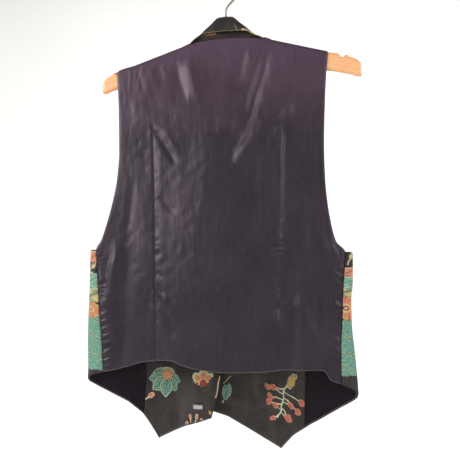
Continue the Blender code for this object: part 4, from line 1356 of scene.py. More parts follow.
def thread(line: Array, normals: Array, pitch: float, length: float, radius: float, across: bool = False) -> Mesh:
    """A run of separate stitches that lie on cloth.

    Args:
        line: points along the run, on the cloth's face.
        normals: the way out of the cloth at each of them.
        pitch: distance from one stitch to the next.
        length: length of a stitch.
        radius: radius of the thread.
        across: whether the stitches lie across the run.

    Returns:
        All the stitches.
    """
    along = lengths_along(line)
    places = np.arange(pitch / 2, along[-1] - pitch / 2, pitch)
    if not len(places):
        return Mesh(np.zeros((0, 3)), [])

    def at(distance: Array, values: Array) -> Array:
        """Values of the run at distances along it."""
        return np.stack([np.interp(distance, along, values[:, n]) for n in range(3)], axis=-1)

    centre, out = at(places, line), at(places, normals)
    out /= np.linalg.norm(out, axis=1, keepdims=True)
    way = at(places + pitch * 0.3, line) - at(places - pitch * 0.3, line)
    way /= np.linalg.norm(way, axis=1, keepdims=True)
    beside = np.cross(way, out)
    if across:
        way, beside = beside, -way
    rings = ((-0.5, 0.35, -0.7), (-0.36, 0.9, 0.25), (0.0, 1.0, 0.55), (0.36, 0.9, 0.25), (0.5, 0.35, -0.7))
    sides = 6
    points = []
    for shift, thick, lift in rings:
        for side in range(sides):
            angle = math.tau * side / sides
            points.append(
                centre
                + way * (shift * length)
                + out * (radius * (lift + thick * math.sin(angle)))
                + beside * (radius * thick * math.cos(angle))
            )
    block = np.stack(points, axis=1)
    one = tube_faces(len(rings), sides)
    count = block.shape[1]
    faces = [[corner + n * count for corner in face] for n in range(len(block)) for face in one]
    return Mesh(block.reshape(-1, 3), faces)


# ---------------------------------------------------------------- the waistcoat's pieces


@dataclass
class Back:
    """The satin back, one piece with two long darts."""

    form: GarmentForm
    satin: bpy.types.Material
    # Thread for the pale hem stitches, which paint the highlight of the hem's rolled edge.
    hem_highlight_stitch_thread: bpy.types.Material
    lower_rows: int = 78
    upper_rows: int = 104
    edge_band: float = 0.022
    dart_band: float = 0.006
    cut: Cut = Cut(0.46, 0.58, 0.208)
    rows: Array = field(init=False)

    def __post_init__(self) -> None:
        """Sets out the rows from the hem up."""
        form = self.form
        self.levels = form.top_row - form.underarm_row - len(form.BACK_RUNS) + 1
        top = form.underarm_row + self.levels
        self.rows = spread((0.0, form.underarm_row, top, form.top_row), (self.lower_rows, self.upper_rows, 30))

    def run_of(self, row: Array, x: Array) -> Array:
        """How far down from the ridge a row of cloth lies at x."""
        form = self.form
        low_z = mix(form.BACK_HEM(x), form.underarm_z, row / form.underarm_row)
        lower = form.run_at(x, low_z)
        neck = form.neck_run(x)
        step = row - form.underarm_row
        share = np.clip(step / self.levels, 0.0, 1.0) ** form.crowding
        middle = mix(form.run_at(x, form.underarm_z + 0 * x), neck + form.BACK_RUNS[0], share)
        top = neck + np.interp(step - self.levels, range(len(form.BACK_RUNS)), form.BACK_RUNS)
        return np.where(row <= form.underarm_row, lower, np.where(step < self.levels, middle, top))

    def column_x(self, name: str) -> Array:
        """x of an edge or dart at each row."""
        curve = self.form.BACK[name]
        x = np.full(len(self.rows), curve.values[len(curve.values) // 2])
        for _ in range(6):
            x = curve(self.form.over_board(x, self.run_of(self.rows, x))[1])
        return x

    def panel(self) -> Panel:
        """The back's outer face."""
        form = self.form
        left, dart_left, dart_right, right = (self.column_x(n) for n in ("left", "dart_left", "dart_right", "right"))
        seam = np.where(self.rows <= form.underarm_row, form.seam_gap / 2, 0.0)
        left, right = left + seam, right - seam
        band, near = self.edge_band, self.dart_band
        keys = (
            left, left + band, dart_left - near, dart_left, dart_left + near,
            dart_right - near, dart_right, dart_right + near, right - band, right,
        )
        counts = (11, 18, 6, 6, 72, 6, 6, 17, 11)
        parts = []
        for start, end, count in zip(keys, keys[1:], counts):
            parts.append(mix(start[:, None], end[:, None], np.arange(count)[None, :] / count))
        x = np.concatenate([*parts, right[:, None]], axis=1)
        run = self.run_of(self.rows[:, None] + 0 * x, x)
        points = form.back_point(x, run)
        flat = np.stack([x, form.ridge(x) - run], axis=-1)
        return Panel(points, flat, 1)

    def build(self) -> Panel:
        """Makes the back and gives its outer face."""
        panel = self.panel()
        seams = panel.rolled(0.0011, 0.0045, ("left", "right")).rolled(0.0006, 0.003, ("bottom", "top"))
        back = seams.wall(self.form.satin_wall).object("satin_back", self.satin)
        dress(back, "satin", ["back"], self.cut)
        # Pale stitches just inside the hem: a painted highlight for the light on the hem's rolled edge.
        stitches = seams.sewn("bottom", 0.001, pitch=0.0036, length=0.0035, radius=0.00032)
        dress(stitches.object("hem_highlight_stitches_back", self.hem_highlight_stitch_thread), "satin")
        return panel


@dataclass
class Front:
    """One brocade front with the facing and lining on its inside, and its lapel."""

    form: GarmentForm
    side: str
    brocade: bpy.types.Material
    # The linings' satin: the near-black copy, which is painted shade.
    satin: bpy.types.Material
    thread: bpy.types.Material
    hem_highlight_stitch_thread: bpy.types.Material
    outer_motifs: Sequence[Motif]
    facing_motifs: Sequence[Motif]
    lapel_motifs: Sequence[Motif]
    lining_columns: int
    facing_columns: int
    foot_row: float
    cut: Cut
    facing_cut: Cut
    lining_cut: Cut
    lapel_cut: Cut
    lapel_overhang: float = 0.003
    lapel_foot_overhang: float = 0.0006
    lapel_gap: float = 0.0004
    lapel_lift: float = 0.0012
    fold_steps: int = 26
    LAPEL_WIDTH = columns(
        (0.0, 0.016), (0.14, 0.03), (0.32, 0.041), (0.5, 0.044), (0.7, 0.036), (0.88, 0.018), (1.0, 0.004)
    )[0]

    @property
    def outward(self) -> int:
        """1 where the grid's own normals face out."""
        return -1 if self.side == "left" else 1

    def panel(self) -> Panel:
        """The front's outer face, from the side seam round the fold to the centre front edge."""
        form, side = self.form, self.side
        levels = form.top_row - form.underarm_row - len(form.FRONT_RUNS) + 1
        split = self.lining_columns / (self.lining_columns + self.facing_columns)
        places, heights = form.FRONT_HEM[side]
        point = places[int(np.argmin(heights))]
        across = spread((-1.0, 0.0, split, point, 1.0), (self.fold_steps, 28, 10, 34))
        self.split = self.fold_steps + 28
        top = form.underarm_row + levels
        keys = (0.0, form.underarm_row, self.foot_row, top, form.top_row)
        self.rows = spread(keys, (74, 34, 52, 32))
        low = self.rows <= form.underarm_row
        points = np.full((len(self.rows), len(across), 3), np.nan)
        flat = np.full((len(self.rows), len(across), 2), np.nan)

        row = self.rows[low][:, None]
        hem = np.interp(across, *form.FRONT_HEM[side])[None, :]
        z = mix(hem, form.underarm_z, row / form.underarm_row)
        seam = form.seam_x(side, z)
        x = mix(seam, form.FRONT[side + "_centre"](z), np.maximum(across, 0.0)[None, :])
        y = form.front_y(side, x, z)
        turn = np.minimum(1.0 + across, 1.0)[None, :]
        start_y = form.back_point(seam, form.run_at(seam, z))[..., 1]
        end_y = form.front_y(side, seam, z)
        bend_x = mix(seam, form.TIP[side](z), np.sin(math.pi * turn))
        bend_y = mix(start_y, end_y, (1 - np.cos(math.pi * turn)) / 2)
        folded = np.broadcast_to((across <= 0)[None, :], z.shape)
        points[low] = np.stack([np.where(folded, bend_x, x), np.where(folded, bend_y, y), z], axis=-1)
        sign = -1.0 if side == "left" else 1.0
        points[low, 0, 0] += sign * form.seam_gap / 2
        steps = np.linalg.norm(np.diff(points[low][:, : self.fold_steps + 1], axis=1), axis=-1)
        beyond = np.pad(np.cumsum(steps[:, ::-1], axis=1)[:, ::-1], [(0, 0), (0, len(across) - self.fold_steps)])
        flat[low] = np.stack([np.where(folded, seam + sign * beyond, x), z], axis=-1)

        rows = self.rows[~low]
        step = rows - form.underarm_row

        def run_of(at: Array, step: Array) -> Array:
            """How far down from the ridge the upper rows lie at x."""
            share = np.clip(step / levels, 0.0, 1.0) ** form.crowding
            middle = mix(form.run_at(at, form.underarm_z + 0 * at), form.FRONT_RUNS[0], share)
            top = np.interp(step - levels, range(len(form.FRONT_RUNS)), form.FRONT_RUNS)
            return np.where(step < levels, middle, top)

        ends = []
        for name in ("_armhole", "_centre"):
            curve = form.FRONT[side + name]
            at = np.full(len(rows), curve.values[len(curve.values) // 2])
            for _ in range(6):
                at = curve(form.over_board(at, run_of(at, step))[1])
            ends.append(at)
        start = float(form.seam_x(side, np.array(form.underarm_z)))
        meets = np.clip(rows - form.underarm_row, 0.0, 1.0)
        goal = float(np.interp(form.underarm_row + 1, rows, ends[0]))
        ends[0] = np.where(meets < 1.0, mix(start, goal, meets), ends[0])
        share = across[self.fold_steps :][None, :]
        x = mix(ends[0][:, None], ends[1][:, None], share)
        run = run_of(x, step[:, None])
        points[~low, self.fold_steps :] = form.front_point(side, x, run)
        flat[~low, self.fold_steps :] = np.stack([x, form.ridge(x) - run], axis=-1)
        return Panel(points, flat, self.outward)

    def lapel(self, panel: Panel) -> Panel:
        """The lapel's outer face, laid on the front along its neckline."""
        form = self.form
        rest = form.brocade_wall + self.lapel_gap
        low, high = panel.moved(rest), panel.moved(rest + self.lapel_lift)
        first = int(np.searchsorted(self.rows, self.foot_row - 1e-6))
        foot_z, top_z = panel.points[first, -1, 2], panel.points[-1, -1, 2]
        out = np.linspace(1.0, 0.0, 19)
        rows, places = [], []
        for row in range(first, len(self.rows)):
            share = float(np.clip((top_z - low.points[row, -1, 2]) / (top_z - foot_z), 0.0, 1.0))
            overhang = mix(self.lapel_overhang, self.lapel_foot_overhang, float(ease(0.0, 0.25, share)))
            distances = float(self.LAPEL_WIDTH(share)) * out - overhang
            bulge = (1 - np.abs(2 * out - 0.8) / 1.2)[:, None]
            near, flat = low.row_at(row, distances)
            far, _ = high.row_at(row, distances)
            rows.append(mix(near, far, bulge))
            places.append(flat)
        return Panel(np.array(rows), np.array(places), self.outward)

    def build(self) -> Panel:
        """Makes the front's pieces and gives its outer face."""
        form, side = self.form, self.side
        panel = self.panel()
        shaped = panel.rolled(0.0009, 0.0045, ("left", "bottom")).rolled(0.0007, 0.003, ("right", "top"))
        front = shaped.wall(form.brocade_wall).object(f"brocade_front_{side}", self.brocade, self.outer_motifs)
        dress(front, "brocade", [f"front_{side}"], self.cut)

        ripples = ripple(panel.flat[..., 0], panel.flat[..., 1] * 0.35, 0.028, 41 if side == "left" else 43)
        slack = 0.0004 + 0.0004 * np.nan_to_num(ripples)
        inner = panel.moved(-(form.brocade_wall + form.layer_gap + np.maximum(slack, 0.0)))
        last = int(np.searchsorted(self.rows, form.top_row - 3))
        lining = inner.part(slice(0, last), slice(0, self.split + 1))
        facing = inner.part(slice(0, last), slice(self.split, None))
        half = form.seam_gap / 2
        lining = lining.inset(0.0015, half, 0.002, 0.0015)
        facing = facing.inset(half, 0.0012, 0.002, 0.0)
        # The lining takes the near-black satin copy, painted shade for the hollow inside.
        made = lining.wall(form.facing_wall).object(f"satin_lining_{side}", self.satin)
        dress(made, "satin", [f"lining_{side}"], self.lining_cut)
        made = facing.wall(form.facing_wall).object(f"brocade_facing_{side}", self.brocade, self.facing_motifs)
        dress(made, "brocade", [f"facing_{side}"], self.facing_cut)

        lapel = self.lapel(panel)
        made = lapel.wall(form.brocade_wall).object(f"brocade_lapel_{side}", self.brocade, self.lapel_motifs)
        dress(made, "brocade", [f"lapel_{side}"], self.lapel_cut)
        self.sew(panel, facing, lining, lapel)
        return panel

    def sew(self, panel: Panel, facing: Panel, lining: Panel, lapel: Panel) -> None:
        """Edge stitching on the front and its lapel, and pale slip stitches along the hem inside, which paint the
        highlight of the rolled hem edge.
        """
        fine = {"pitch": 0.003, "length": 0.0023, "radius": 0.00024}
        runs = [
            panel.sewn("bottom", 0.003, **fine),
            facing.sewn("bottom", 0.0052, self.form.facing_wall, **fine),
            lapel.sewn("left", 0.003, **fine),
        ]
        made = Mesh.joined(runs).object(f"edge_stitching_{self.side}", self.thread)
        dress(made, "brocade")
        # Pale hem stitches on the facing and lining: a painted highlight for the light on the rolled hem edge.
        pale = {"pitch": 0.0036, "length": 0.0035, "radius": 0.00034}
        runs = [cloth.sewn("bottom", 0.0012, self.form.facing_wall, **pale) for cloth in (facing, lining)]
        made = Mesh.joined(runs).object(f"hem_highlight_stitches_{self.side}", self.hem_highlight_stitch_thread)
        dress(made, "satin")


@dataclass
class Collar:
    """The brocade collar: it stands round the hook, rolls over and falls behind the neck."""

    form: GarmentForm
    brocade: bpy.types.Material
    thread: bpy.types.Material
    motifs: Sequence[Motif]
    steps: int = 96
    ways: int = 4
    seam_gap: float = 0.0003
    cut: Cut = Cut(0.11, 0.066, 0.0047)
    STATIONS = dict(zip(("lean", "height", "turn", "reach", "drop", "round"), columns(
        (0.0, -0.0008, 0.0357, 0, 0.005, 0.0265, 0.0021),
        (0.011, -0.0008, 0.0351, 0, 0.005, 0.0258, 0.0021),
        (0.025, -0.0004, 0.0246, 6, 0.005, 0.0158, 0.0021),
        (0.037, 0.0, 0.0155, 22, 0.0056, 0.0074, 0.0019),
        (0.045, 0.0004, 0.0085, 50, 0.008, 0.0064, 0.0017),
        (0.05, 0.0006, 0.0042, 70, 0.0088, 0.0066, 0.0015),
        (0.0575, 0.0008, 0.0032, 86, 0.0085, 0.0062, 0.0013),
    )))

    def section(self, x: float) -> Array:
        """Points of the collar across its width: up the stand, over the roll and down the fall."""
        form = self.form
        at = {name: float(curve(abs(x))) for name, curve in self.STATIONS.items()}
        turn = math.radians(at["turn"])
        out = np.array([math.copysign(math.sin(turn), x), -math.cos(turn), 0.0])
        up = np.array([0.0, 0.0, 1.0])
        run = float(form.neck_run(np.array(x)))
        depth, z = form.over_board(np.array(x), np.array(run))
        steep = min(max(run / form.drape_radius, 0.0), math.pi / 2)
        inward = np.array([0.0, math.sin(steep), -math.cos(steep)]) * form.satin_wall
        neck = np.array([x, -float(depth), float(z) + self.seam_gap]) + inward
        roll = neck + out * at["lean"] + up * at["height"]
        bend = at["round"]
        inner, outer = roll - (out + up) * bend, roll + (out - up) * bend
        edge = roll + out * (bend + at["reach"]) - up * at["drop"]
        return np.array([
            neck, mix(neck, inner, 0.5), inner, roll - out * bend * 0.5 - up * bend * 0.16,
            roll + out * bend * 0.5 - up * bend * 0.16, outer, mix(outer, edge, 0.5) + out * 0.0006, edge,
        ])

    def build(self) -> None:
        """Makes the collar and the gold stitching along its fall, which also paints the highlight of the rolled fall
        edge.
        """
        end = self.STATIONS["lean"].keys[-1]
        xs = np.linspace(-end, end, self.steps + 1)
        coarse = np.array([self.section(x) for x in xs])
        sections = np.swapaxes(self.smoothed(coarse), 0, 1)
        steps = np.linalg.norm(np.diff(sections, axis=0), axis=-1)
        along = np.pad(np.cumsum(steps, axis=0), [(1, 0), (0, 0)])
        flat = np.stack([np.broadcast_to(xs, along.shape), along], axis=-1)
        panel = Panel(sections, flat, -1).rolled(0.0004, 0.002, ("top",))
        # Gold stitches along the fall edge: partly gold thread, partly a painted highlight on the rolled edge.
        edge = panel.sewn("top", 0.0008, pitch=0.0026, length=0.0025, radius=0.00032)
        dress(edge.object("collar_edge_highlight_stitches", self.thread), "brocade")
        made = panel.wall(self.form.satin_wall).object("brocade_collar", self.brocade, self.motifs)
        dress(made, "brocade", ["collar"], self.cut)

    def smoothed(self, coarse: Array) -> Array:
        """Each section through its points on a smooth curve."""
        before = 2 * coarse[:, :1] - coarse[:, 1:2]
        beyond = 2 * coarse[:, -1:] - coarse[:, -2:-1]
        padded = np.concatenate([before, coarse, beyond], axis=1)
        found = []
        for n in range(coarse.shape[1] - 1):
            a, b, c, d = (padded[:, n + k] for k in range(4))
            for step in range(self.ways):
                t = step / self.ways
                found.append(
                    0.5 * (2 * b + (c - a) * t + (2 * a - 5 * b + 4 * c - d) * t * t + (3 * b - a - 3 * c + d) * t**3)
                )
        found.append(coarse[:, -1])
        return np.stack(found, axis=1)


@dataclass
class Closure:
    """Four horn buttons on the right front, each with its thread and buttonhole."""

    form: GarmentForm
    horn: bpy.types.Material
    thread: bpy.types.Material
    radius: float = 0.0075
    top_z: float = -0.402
    pitch: float = 0.0725
    count: int = 4
    inset: float = 0.0135
    hole_ring: float = 0.0019
    hole_radius: float = 0.00075
    steps: int = 56

    def turned_button(self) -> bpy.types.Mesh:
        """One button with four holes through its sunk middle."""
        r = self.radius
        profile = (
            (0.0, 0.0027), (r * 0.4, 0.00272), (r * 0.56, 0.0029), (r * 0.66, 0.0034), (r * 0.78, 0.0038),
            (r * 0.9, 0.0036), (r * 0.97, 0.0031), (r, 0.0024), (r * 0.97, 0.0015), (r * 0.8, 0.0003),
            (r * 0.6, 0.0), (0.0, 0.0),
        )
        blank = turned(profile, self.steps, True).object("button_blank", self.horn)
        drills = []
        for n in range(4):
            angle = math.tau * (n + 0.5) / 4
            drills.append(self.drill(self.hole_ring * math.cos(angle), self.hole_ring * math.sin(angle)))
        drill = Mesh.joined(drills).object("button_drill", self.horn)
        cut = blank.modifiers.new("holes", "BOOLEAN")
        cut.object = drill
        cut.solver = "EXACT"
        mesh = finished(blank)
        for spare in (blank, drill):
            bpy.data.objects.remove(spare)
        mesh.set_sharp_from_angle(angle=math.radians(42))
        return mesh

    def drill(self, x: float, y: float) -> Mesh:
        """A round drill that passes right through a button."""
        sides, points = 16, []
        for height in (-0.001, 0.005):
            for n in range(sides):
                angle = math.tau * n / sides
                across, up = math.cos(angle) * self.hole_radius, math.sin(angle) * self.hole_radius
                points.append((x + across, y + up, height))
        return Mesh(np.array(points), tube_faces(2, sides))

    def build(self) -> None:
        """Makes the buttons, their thread and the buttonholes."""
        button = self.turned_button()
        runs = []
        for n in range(self.count):
            z = self.top_z - self.pitch * n
            x = float(self.form.FRONT["right_centre"](z)) + self.inset
            here, over, beside = (
                float(self.form.front_y("right", np.array(x + dx), np.array(z + dz)))
                for dx, dz in ((0, 0), (0, 0.004), (0.004, 0))
            )
            normal = Vector((-(beside - here) / 0.004, 1.0, -(over - here) / 0.004)).normalized()
            turn = normal.to_track_quat("Z", "Y")
            seat = Vector((x, here, z)) + normal * 0.0007
            made = placed(f"horn_button_{n + 1}", button.copy())
            made.data.transform(turn.to_matrix().to_4x4())
            made.data.transform(Matrix.Translation(seat))
            dress(made, "button", [f"button_{n + 1}"])
            for side in (-1, 1):
                a = seat + turn @ Vector((-self.hole_ring * 0.9, side * self.hole_ring * 0.7, 0.0029))
                b = seat + turn @ Vector((self.hole_ring * 0.9, side * self.hole_ring * 0.7, 0.0029))
                line = np.array([list(a.lerp(b, t)) for t in (-0.1, 0.25, 0.5, 0.75, 1.1)])
                out = np.tile(list(normal), (5, 1))
                length = float(np.linalg.norm(line[-1] - line[0]))
                for shift in (-0.00022, 0.00022):
                    runs.append(thread(line + np.array([0, 0, shift]), out, length / 1.6, length * 0.95, 0.00022))
            runs.append(self.buttonhole(x, z))
        made = Mesh.joined(runs).object("button_thread", self.thread)
        dress(made, "button")

    def buttonhole(self, x: float, z: float) -> Mesh:
        """Closely set stitches round a slot in the cloth behind a button."""
        half, tall = 0.0098, 0.0011
        angle = np.linspace(0, math.tau, 61)
        shape = np.stack([np.cos(angle) * half, np.sin(angle) * tall], axis=-1)
        shape[:, 0] += 0.0012
        xs, zs = x + shape[:, 0], z + shape[:, 1]
        ys = self.form.front_y("right", xs, zs) + 0.0002
        line = np.stack([xs, ys, zs], axis=-1)
        out = np.tile([0.0, 1.0, 0.0], (len(line), 1))
        return thread(line, out, 0.00055, 0.0017, 0.00026, across=True)


@dataclass
class SizeTape:
    """The small woven tape sewn on the left facing, with no lettering."""

    form: GarmentForm
    tape: bpy.types.Material
    thread: bpy.types.Material
    x: float = -0.0514
    z: float = -0.7207
    half_width: float = 0.0095
    half_height: float = 0.0048
    wall: float = 0.0005
    tilt: float = 0.08
    cut: Cut = Cut(0.019, 0.01, 0.00018)

    def build(self) -> None:
        """Makes the tape and the stitches at its two ends."""
        form = self.form
        across, up = np.meshgrid(np.linspace(-1, 1, 25), np.linspace(-1, 1, 13))
        flat = np.stack([across * self.half_width, up * self.half_height], axis=-1)
        x = self.x + flat[..., 0]
        z = self.z + flat[..., 1] + flat[..., 0] * self.tilt
        points = np.stack([x, form.front_y("left", x, z), z], axis=-1)
        depth = form.brocade_wall + form.layer_gap + form.facing_wall + form.layer_gap + self.wall + 0.0005
        lift = 0.0003 * np.abs(up) ** 2
        panel = Panel(points, flat, 1).moved(depth + lift)
        made = panel.wall(self.wall).object("size_tape", self.tape)
        dress(made, "label", ["size_label"], self.cut)
        runs = []
        normals = panel.normals()
        for column in (1, -2):
            runs.append(thread(panel.points[:, column], normals[:, column], 0.0012, 0.001, 0.00016))
        made = Mesh.joined(runs).object("tape_stitches", self.thread)
        dress(made, "label")


@dataclass
class Hanger:
    """The wooden board and its wire hook."""

    board: BoardForm
    beech: bpy.types.Material
    steel: bpy.types.Material
    wire_radius: float = 0.0017
    hook_radius: float = 0.02
    tip_angle: float = 205.0
    jog_angle: float = -45.0
    shank_depth: float = 0.014
    bend: float = 0.007

    def outline(self) -> Array:
        """Outline of the board, anticlockwise from the middle of its underside."""
        b = self.board
        tip = b.half_length
        half = [(x, -b.height - 0.0012 * math.sin(math.pi * x / tip)) for x in np.linspace(0, 0.205, 42)]
        rounding = ((0.0075, -0.0012), (0.0035, -0.0006), (0.001, 0.0008))
        half += [(tip - back, -b.height + up) for back, up in rounding]
        half += [(tip, -b.height + 0.003)]
        for angle in np.radians(np.linspace(0, 90, 17)[1:]):
            half.append((tip - 0.016 * (1 - math.cos(angle)), -0.014 + 0.0124 * math.sin(angle)))
        half.append((b.notch_x + b.notch_radius + 0.003, -0.0006))
        for angle in np.radians(np.linspace(0, 180, 19)):
            half.append((b.notch_x + b.notch_radius * math.cos(angle), -b.notch_radius * math.sin(angle)))
        half += [(x, 0.0) for x in np.linspace(0.18, 0.004, 46)]
        points = np.array(half)
        right = points + np.stack([0 * points[:, 0], b.top(points[:, 0])], axis=-1)
        left = np.stack([-points[1:, 0], points[1:, 1] + b.top(-points[1:, 0])], axis=-1)
        return np.concatenate([right, left[::-1]])

    def build_board(self) -> None:
        """Makes the board, its edges rounded over."""
        b = self.board
        curve = bpy.data.curves.new("board_outline", "CURVE")
        curve.dimensions = "2D"
        curve.fill_mode = "BOTH"
        curve.bevel_depth = b.edge_round
        curve.bevel_resolution = 6
        curve.offset = -b.edge_round
        curve.extrude = b.thickness / 2 - b.edge_round
        outline = self.outline()
        spline = curve.splines.new("POLY")
        spline.points.add(len(outline) - 1)
        flat, ones = np.zeros((len(outline), 1)), np.ones((len(outline), 1))
        spline.points.foreach_set("co", np.hstack([outline, flat, ones]).ravel())
        spline.use_cyclic_u = True
        guide = placed("board_guide", curve)
        mesh = finished(guide)
        mesh.transform(Matrix.Rotation(math.radians(90), 4, "X"))
        bpy.data.objects.remove(guide)
        mesh.materials.clear()
        mesh.materials.append(self.beech)
        mesh.shade_smooth()
        mesh.set_sharp_from_angle(angle=math.radians(50))
        dress(placed("beech_board", mesh), "wood", ["hanger_board"])

    def build_hook(self) -> None:
        """Makes the hook from one bent wire with a rounded tip."""
        centre_z = -(self.hook_radius - self.wire_radius)
        start = math.radians(self.jog_angle)
        tangent_x = self.hook_radius * math.cos(start)
        jog_z = centre_z + self.hook_radius * math.sin(start) - tangent_x
        route = [(0.0, z) for z in np.linspace(self.board.crest_z - self.shank_depth, jog_z - self.bend * 1.2, 8)]
        for share in np.linspace(0, 1, 9):
            straight = (0.0, jog_z - self.bend * (1 - share))
            slant = (self.bend * 0.7071 * share, jog_z + self.bend * 0.7071 * share)
            route.append((mix(straight[0], slant[0], share), mix(straight[1], slant[1], share)))
        first, last = route[-1], (tangent_x, centre_z + self.hook_radius * math.sin(start))
        route += [(mix(first[0], last[0], t), mix(first[1], last[1], t)) for t in (0.33, 0.66)]
        for angle in np.linspace(start, math.radians(self.tip_angle), 64):
            route.append((self.hook_radius * math.cos(angle), centre_z + self.hook_radius * math.sin(angle)))
        line = np.array([(x, 0.0, z) for x, z in route])
        sizes = np.ones(len(line))
        tip_way = line[-1] - line[-2]
        tip_way /= np.linalg.norm(tip_way)
        for share in (0.5, 0.85, 0.99):
            line = np.vstack([line, line[len(route) - 1] + tip_way * self.wire_radius * share])
            sizes = np.append(sizes, math.sqrt(1 - share * share))
        made = self.tube(line, sizes).object("wire_hook", self.steel)
        dress(made, "steel", ["hanger_hook"])

    def tube(self, line: Array, sizes: Array, sides: int = 20) -> Mesh:
        """A round tube along a line in the board's plane, closed at both ends."""
        way = np.gradient(line, axis=0)
        way /= np.linalg.norm(way, axis=1, keepdims=True)
        beside = np.tile([0.0, 1.0, 0.0], (len(line), 1))
        over = np.cross(way, beside)
        angle = np.linspace(0, math.tau, sides, endpoint=False)
        ring = beside[:, None] * np.cos(angle)[None, :, None] + over[:, None] * np.sin(angle)[None, :, None]
        points = (line[:, None] + ring * (sizes * self.wire_radius)[:, None, None]).reshape(-1, 3)
        return Mesh(points, tube_faces(len(line), sides))

    def build(self) -> None:
        """Makes both pieces of the hanger."""
        self.build_board()
        self.build_hook()


@dataclass
class Studio:
    """A round pale surround, soft lights and the photograph's camera."""

    surround: bpy.types.Material
    floor_z: float = -1.3
    radius: float = 2.7
    target: tuple[float, float, float] = (0.0068, 0.0, -0.4166)
    azimuth: float = 11.5
    distance: float = 0.85
    focal_pixels: float = 510.0
    frame_pixels: float = 460.0
    sensor: float = 36.0

    def build_surround(self) -> None:
        """Makes the floor, which sweeps up into a wall all round."""
        inner, sweep, floor = self.radius - 1.4, 1.4, self.floor_z
        profile = [(0.0, floor), (0.7, floor), (inner, floor)]
        for angle in np.radians(np.linspace(0, 90, 17)):
            profile.append((inner + sweep * math.sin(angle), floor + (sweep - sweep * math.cos(angle))))
        profile += [(self.radius, floor + 2.6), (self.radius, floor + 3.8)]
        turned(profile, 96, False).object("pale_surround", self.surround)

    def light(
        self, name: str, place: Sequence[float], aim: Sequence[float], size: float, watts: float, colour: Colour
    ) -> None:
        """Adds a soft square light.

        Args:
            name: the light's name.
            place: where it hangs.
            aim: the point that it faces.
            size: length of its sides.
            watts: its power.
            colour: its colour.
        """
        data = bpy.data.lights.new(name, "AREA")
        data.size = size
        data.energy = watts
        data.color = colour
        lamp = placed(name, data)
        lamp.location = place
        lamp.rotation_euler = (Vector(aim) - Vector(place)).to_track_quat("-Z", "Y").to_euler()
        lamp.visible_camera = False

    def build_camera(self) -> None:
        """Places the camera where the photograph was taken from."""
        data = bpy.data.cameras.new("camera")
        data.sensor_width = self.sensor
        data.lens = self.focal_pixels / self.frame_pixels * self.sensor
        camera = placed("camera", data)
        angle = math.radians(self.azimuth)
        away = Vector((math.sin(angle), -math.cos(angle), 0.0)) * self.distance
        camera.location = Vector(self.target) + away
        camera.rotation_euler = (math.radians(90), 0.0, angle)
        bpy.context.scene.camera = camera

    def build(self) -> None:
        """Makes the surround, the lights and the camera."""
        scene = bpy.context.scene
        scene.view_settings.view_transform = "Standard"
        self.build_surround()
        world = bpy.data.worlds.new("soft_daylight")
        world.use_nodes = True
        world.node_tree.nodes["Background"].inputs["Color"].default_value = (0.95, 0.97, 1.0, 1.0)
        world.node_tree.nodes["Background"].inputs["Strength"].default_value = 0.26
        scene.world = world
        warm, cool = (1.0, 0.98, 0.95), (0.94, 0.96, 1.0)
        self.light("window", (-1.55, -0.85, 0.15), self.target, 0.7, 30.0, warm)
        self.light("fill", (1.5, -0.9, 0.25), self.target, 0.6, 17.0, cool)
        self.light("front_window", (1.3, 1.5, 0.2), self.target, 0.9, 30.0, warm)
        self.light("front_fill", (-1.7, 1.6, -0.1), self.target, 1.5, 7.0, cool)
        self.light("back_wash", (0.0, 1.1, 0.9), (0.0, 2.6, -0.6), 1.6, 24.0, warm)
        self.light("front_wash", (0.0, -1.6, 0.9), (0.0, -2.6, -0.6), 1.6, 9.0, warm)
        self.build_camera()


# ---------------------------------------------------------------- where the motifs lie, in millimetres


K = Woven
LEFT_OUTER = motifs(
    (K.BROAD_LEAF, -270, -613.5, 49.5), (K.FLOWER_FIELD, -266, -554.5, 12.5, 20, 1.9),
    (K.GOLD_FIELD, -266, -530, 12, 0, 2.0), (K.GREEN_FIELD, -264, -503, 15, 0, 1.6),
    (K.HEADED_STALK, -262, -481, 9, 40, 2.2), (K.PEACH_FIELD, -260, -464, 11, 0, 2.0),
    (K.CLUSTER, -165, -560, 44, -12), (K.BERRIES, -110, -690, 48, 8), (K.BLOSSOM, -60, -595, 24, 30),
    (K.LEAF, -92, -625, 24, -48), (K.CLUSTER, -66, -480, 38, 160), (K.LEAF, -140, -440, 33, 42),
    (K.BERRIES, -128, -340, 40, 190), (K.BLOSSOM, -75, -395, 22, 70), (K.LEAF, -166, -385, 22, 30),
    (K.CLUSTER, -135, -240, 38, 14), (K.BUD, -88, -290, 20, -30), (K.HUSK, -168, -300, 15, 20),
    (K.BERRIES, -160, -165, 36, 30), (K.LEAF, -100, -180, 24, -20), (K.BLOSSOM, -205, -480, 22),
    (K.LEAF, -212, -530, 24, -30), (K.HUSK, -190, -640, 20, 20), (K.LEAF, -160, -655, 22, 60),
    (K.BUD, -60, -740, 17, 20), (K.LEAF, -35, -665, 26, -12), (K.LEAF, -205, -690, 17, 20),
    (K.BUD, -30, -540, 18, 24),
)
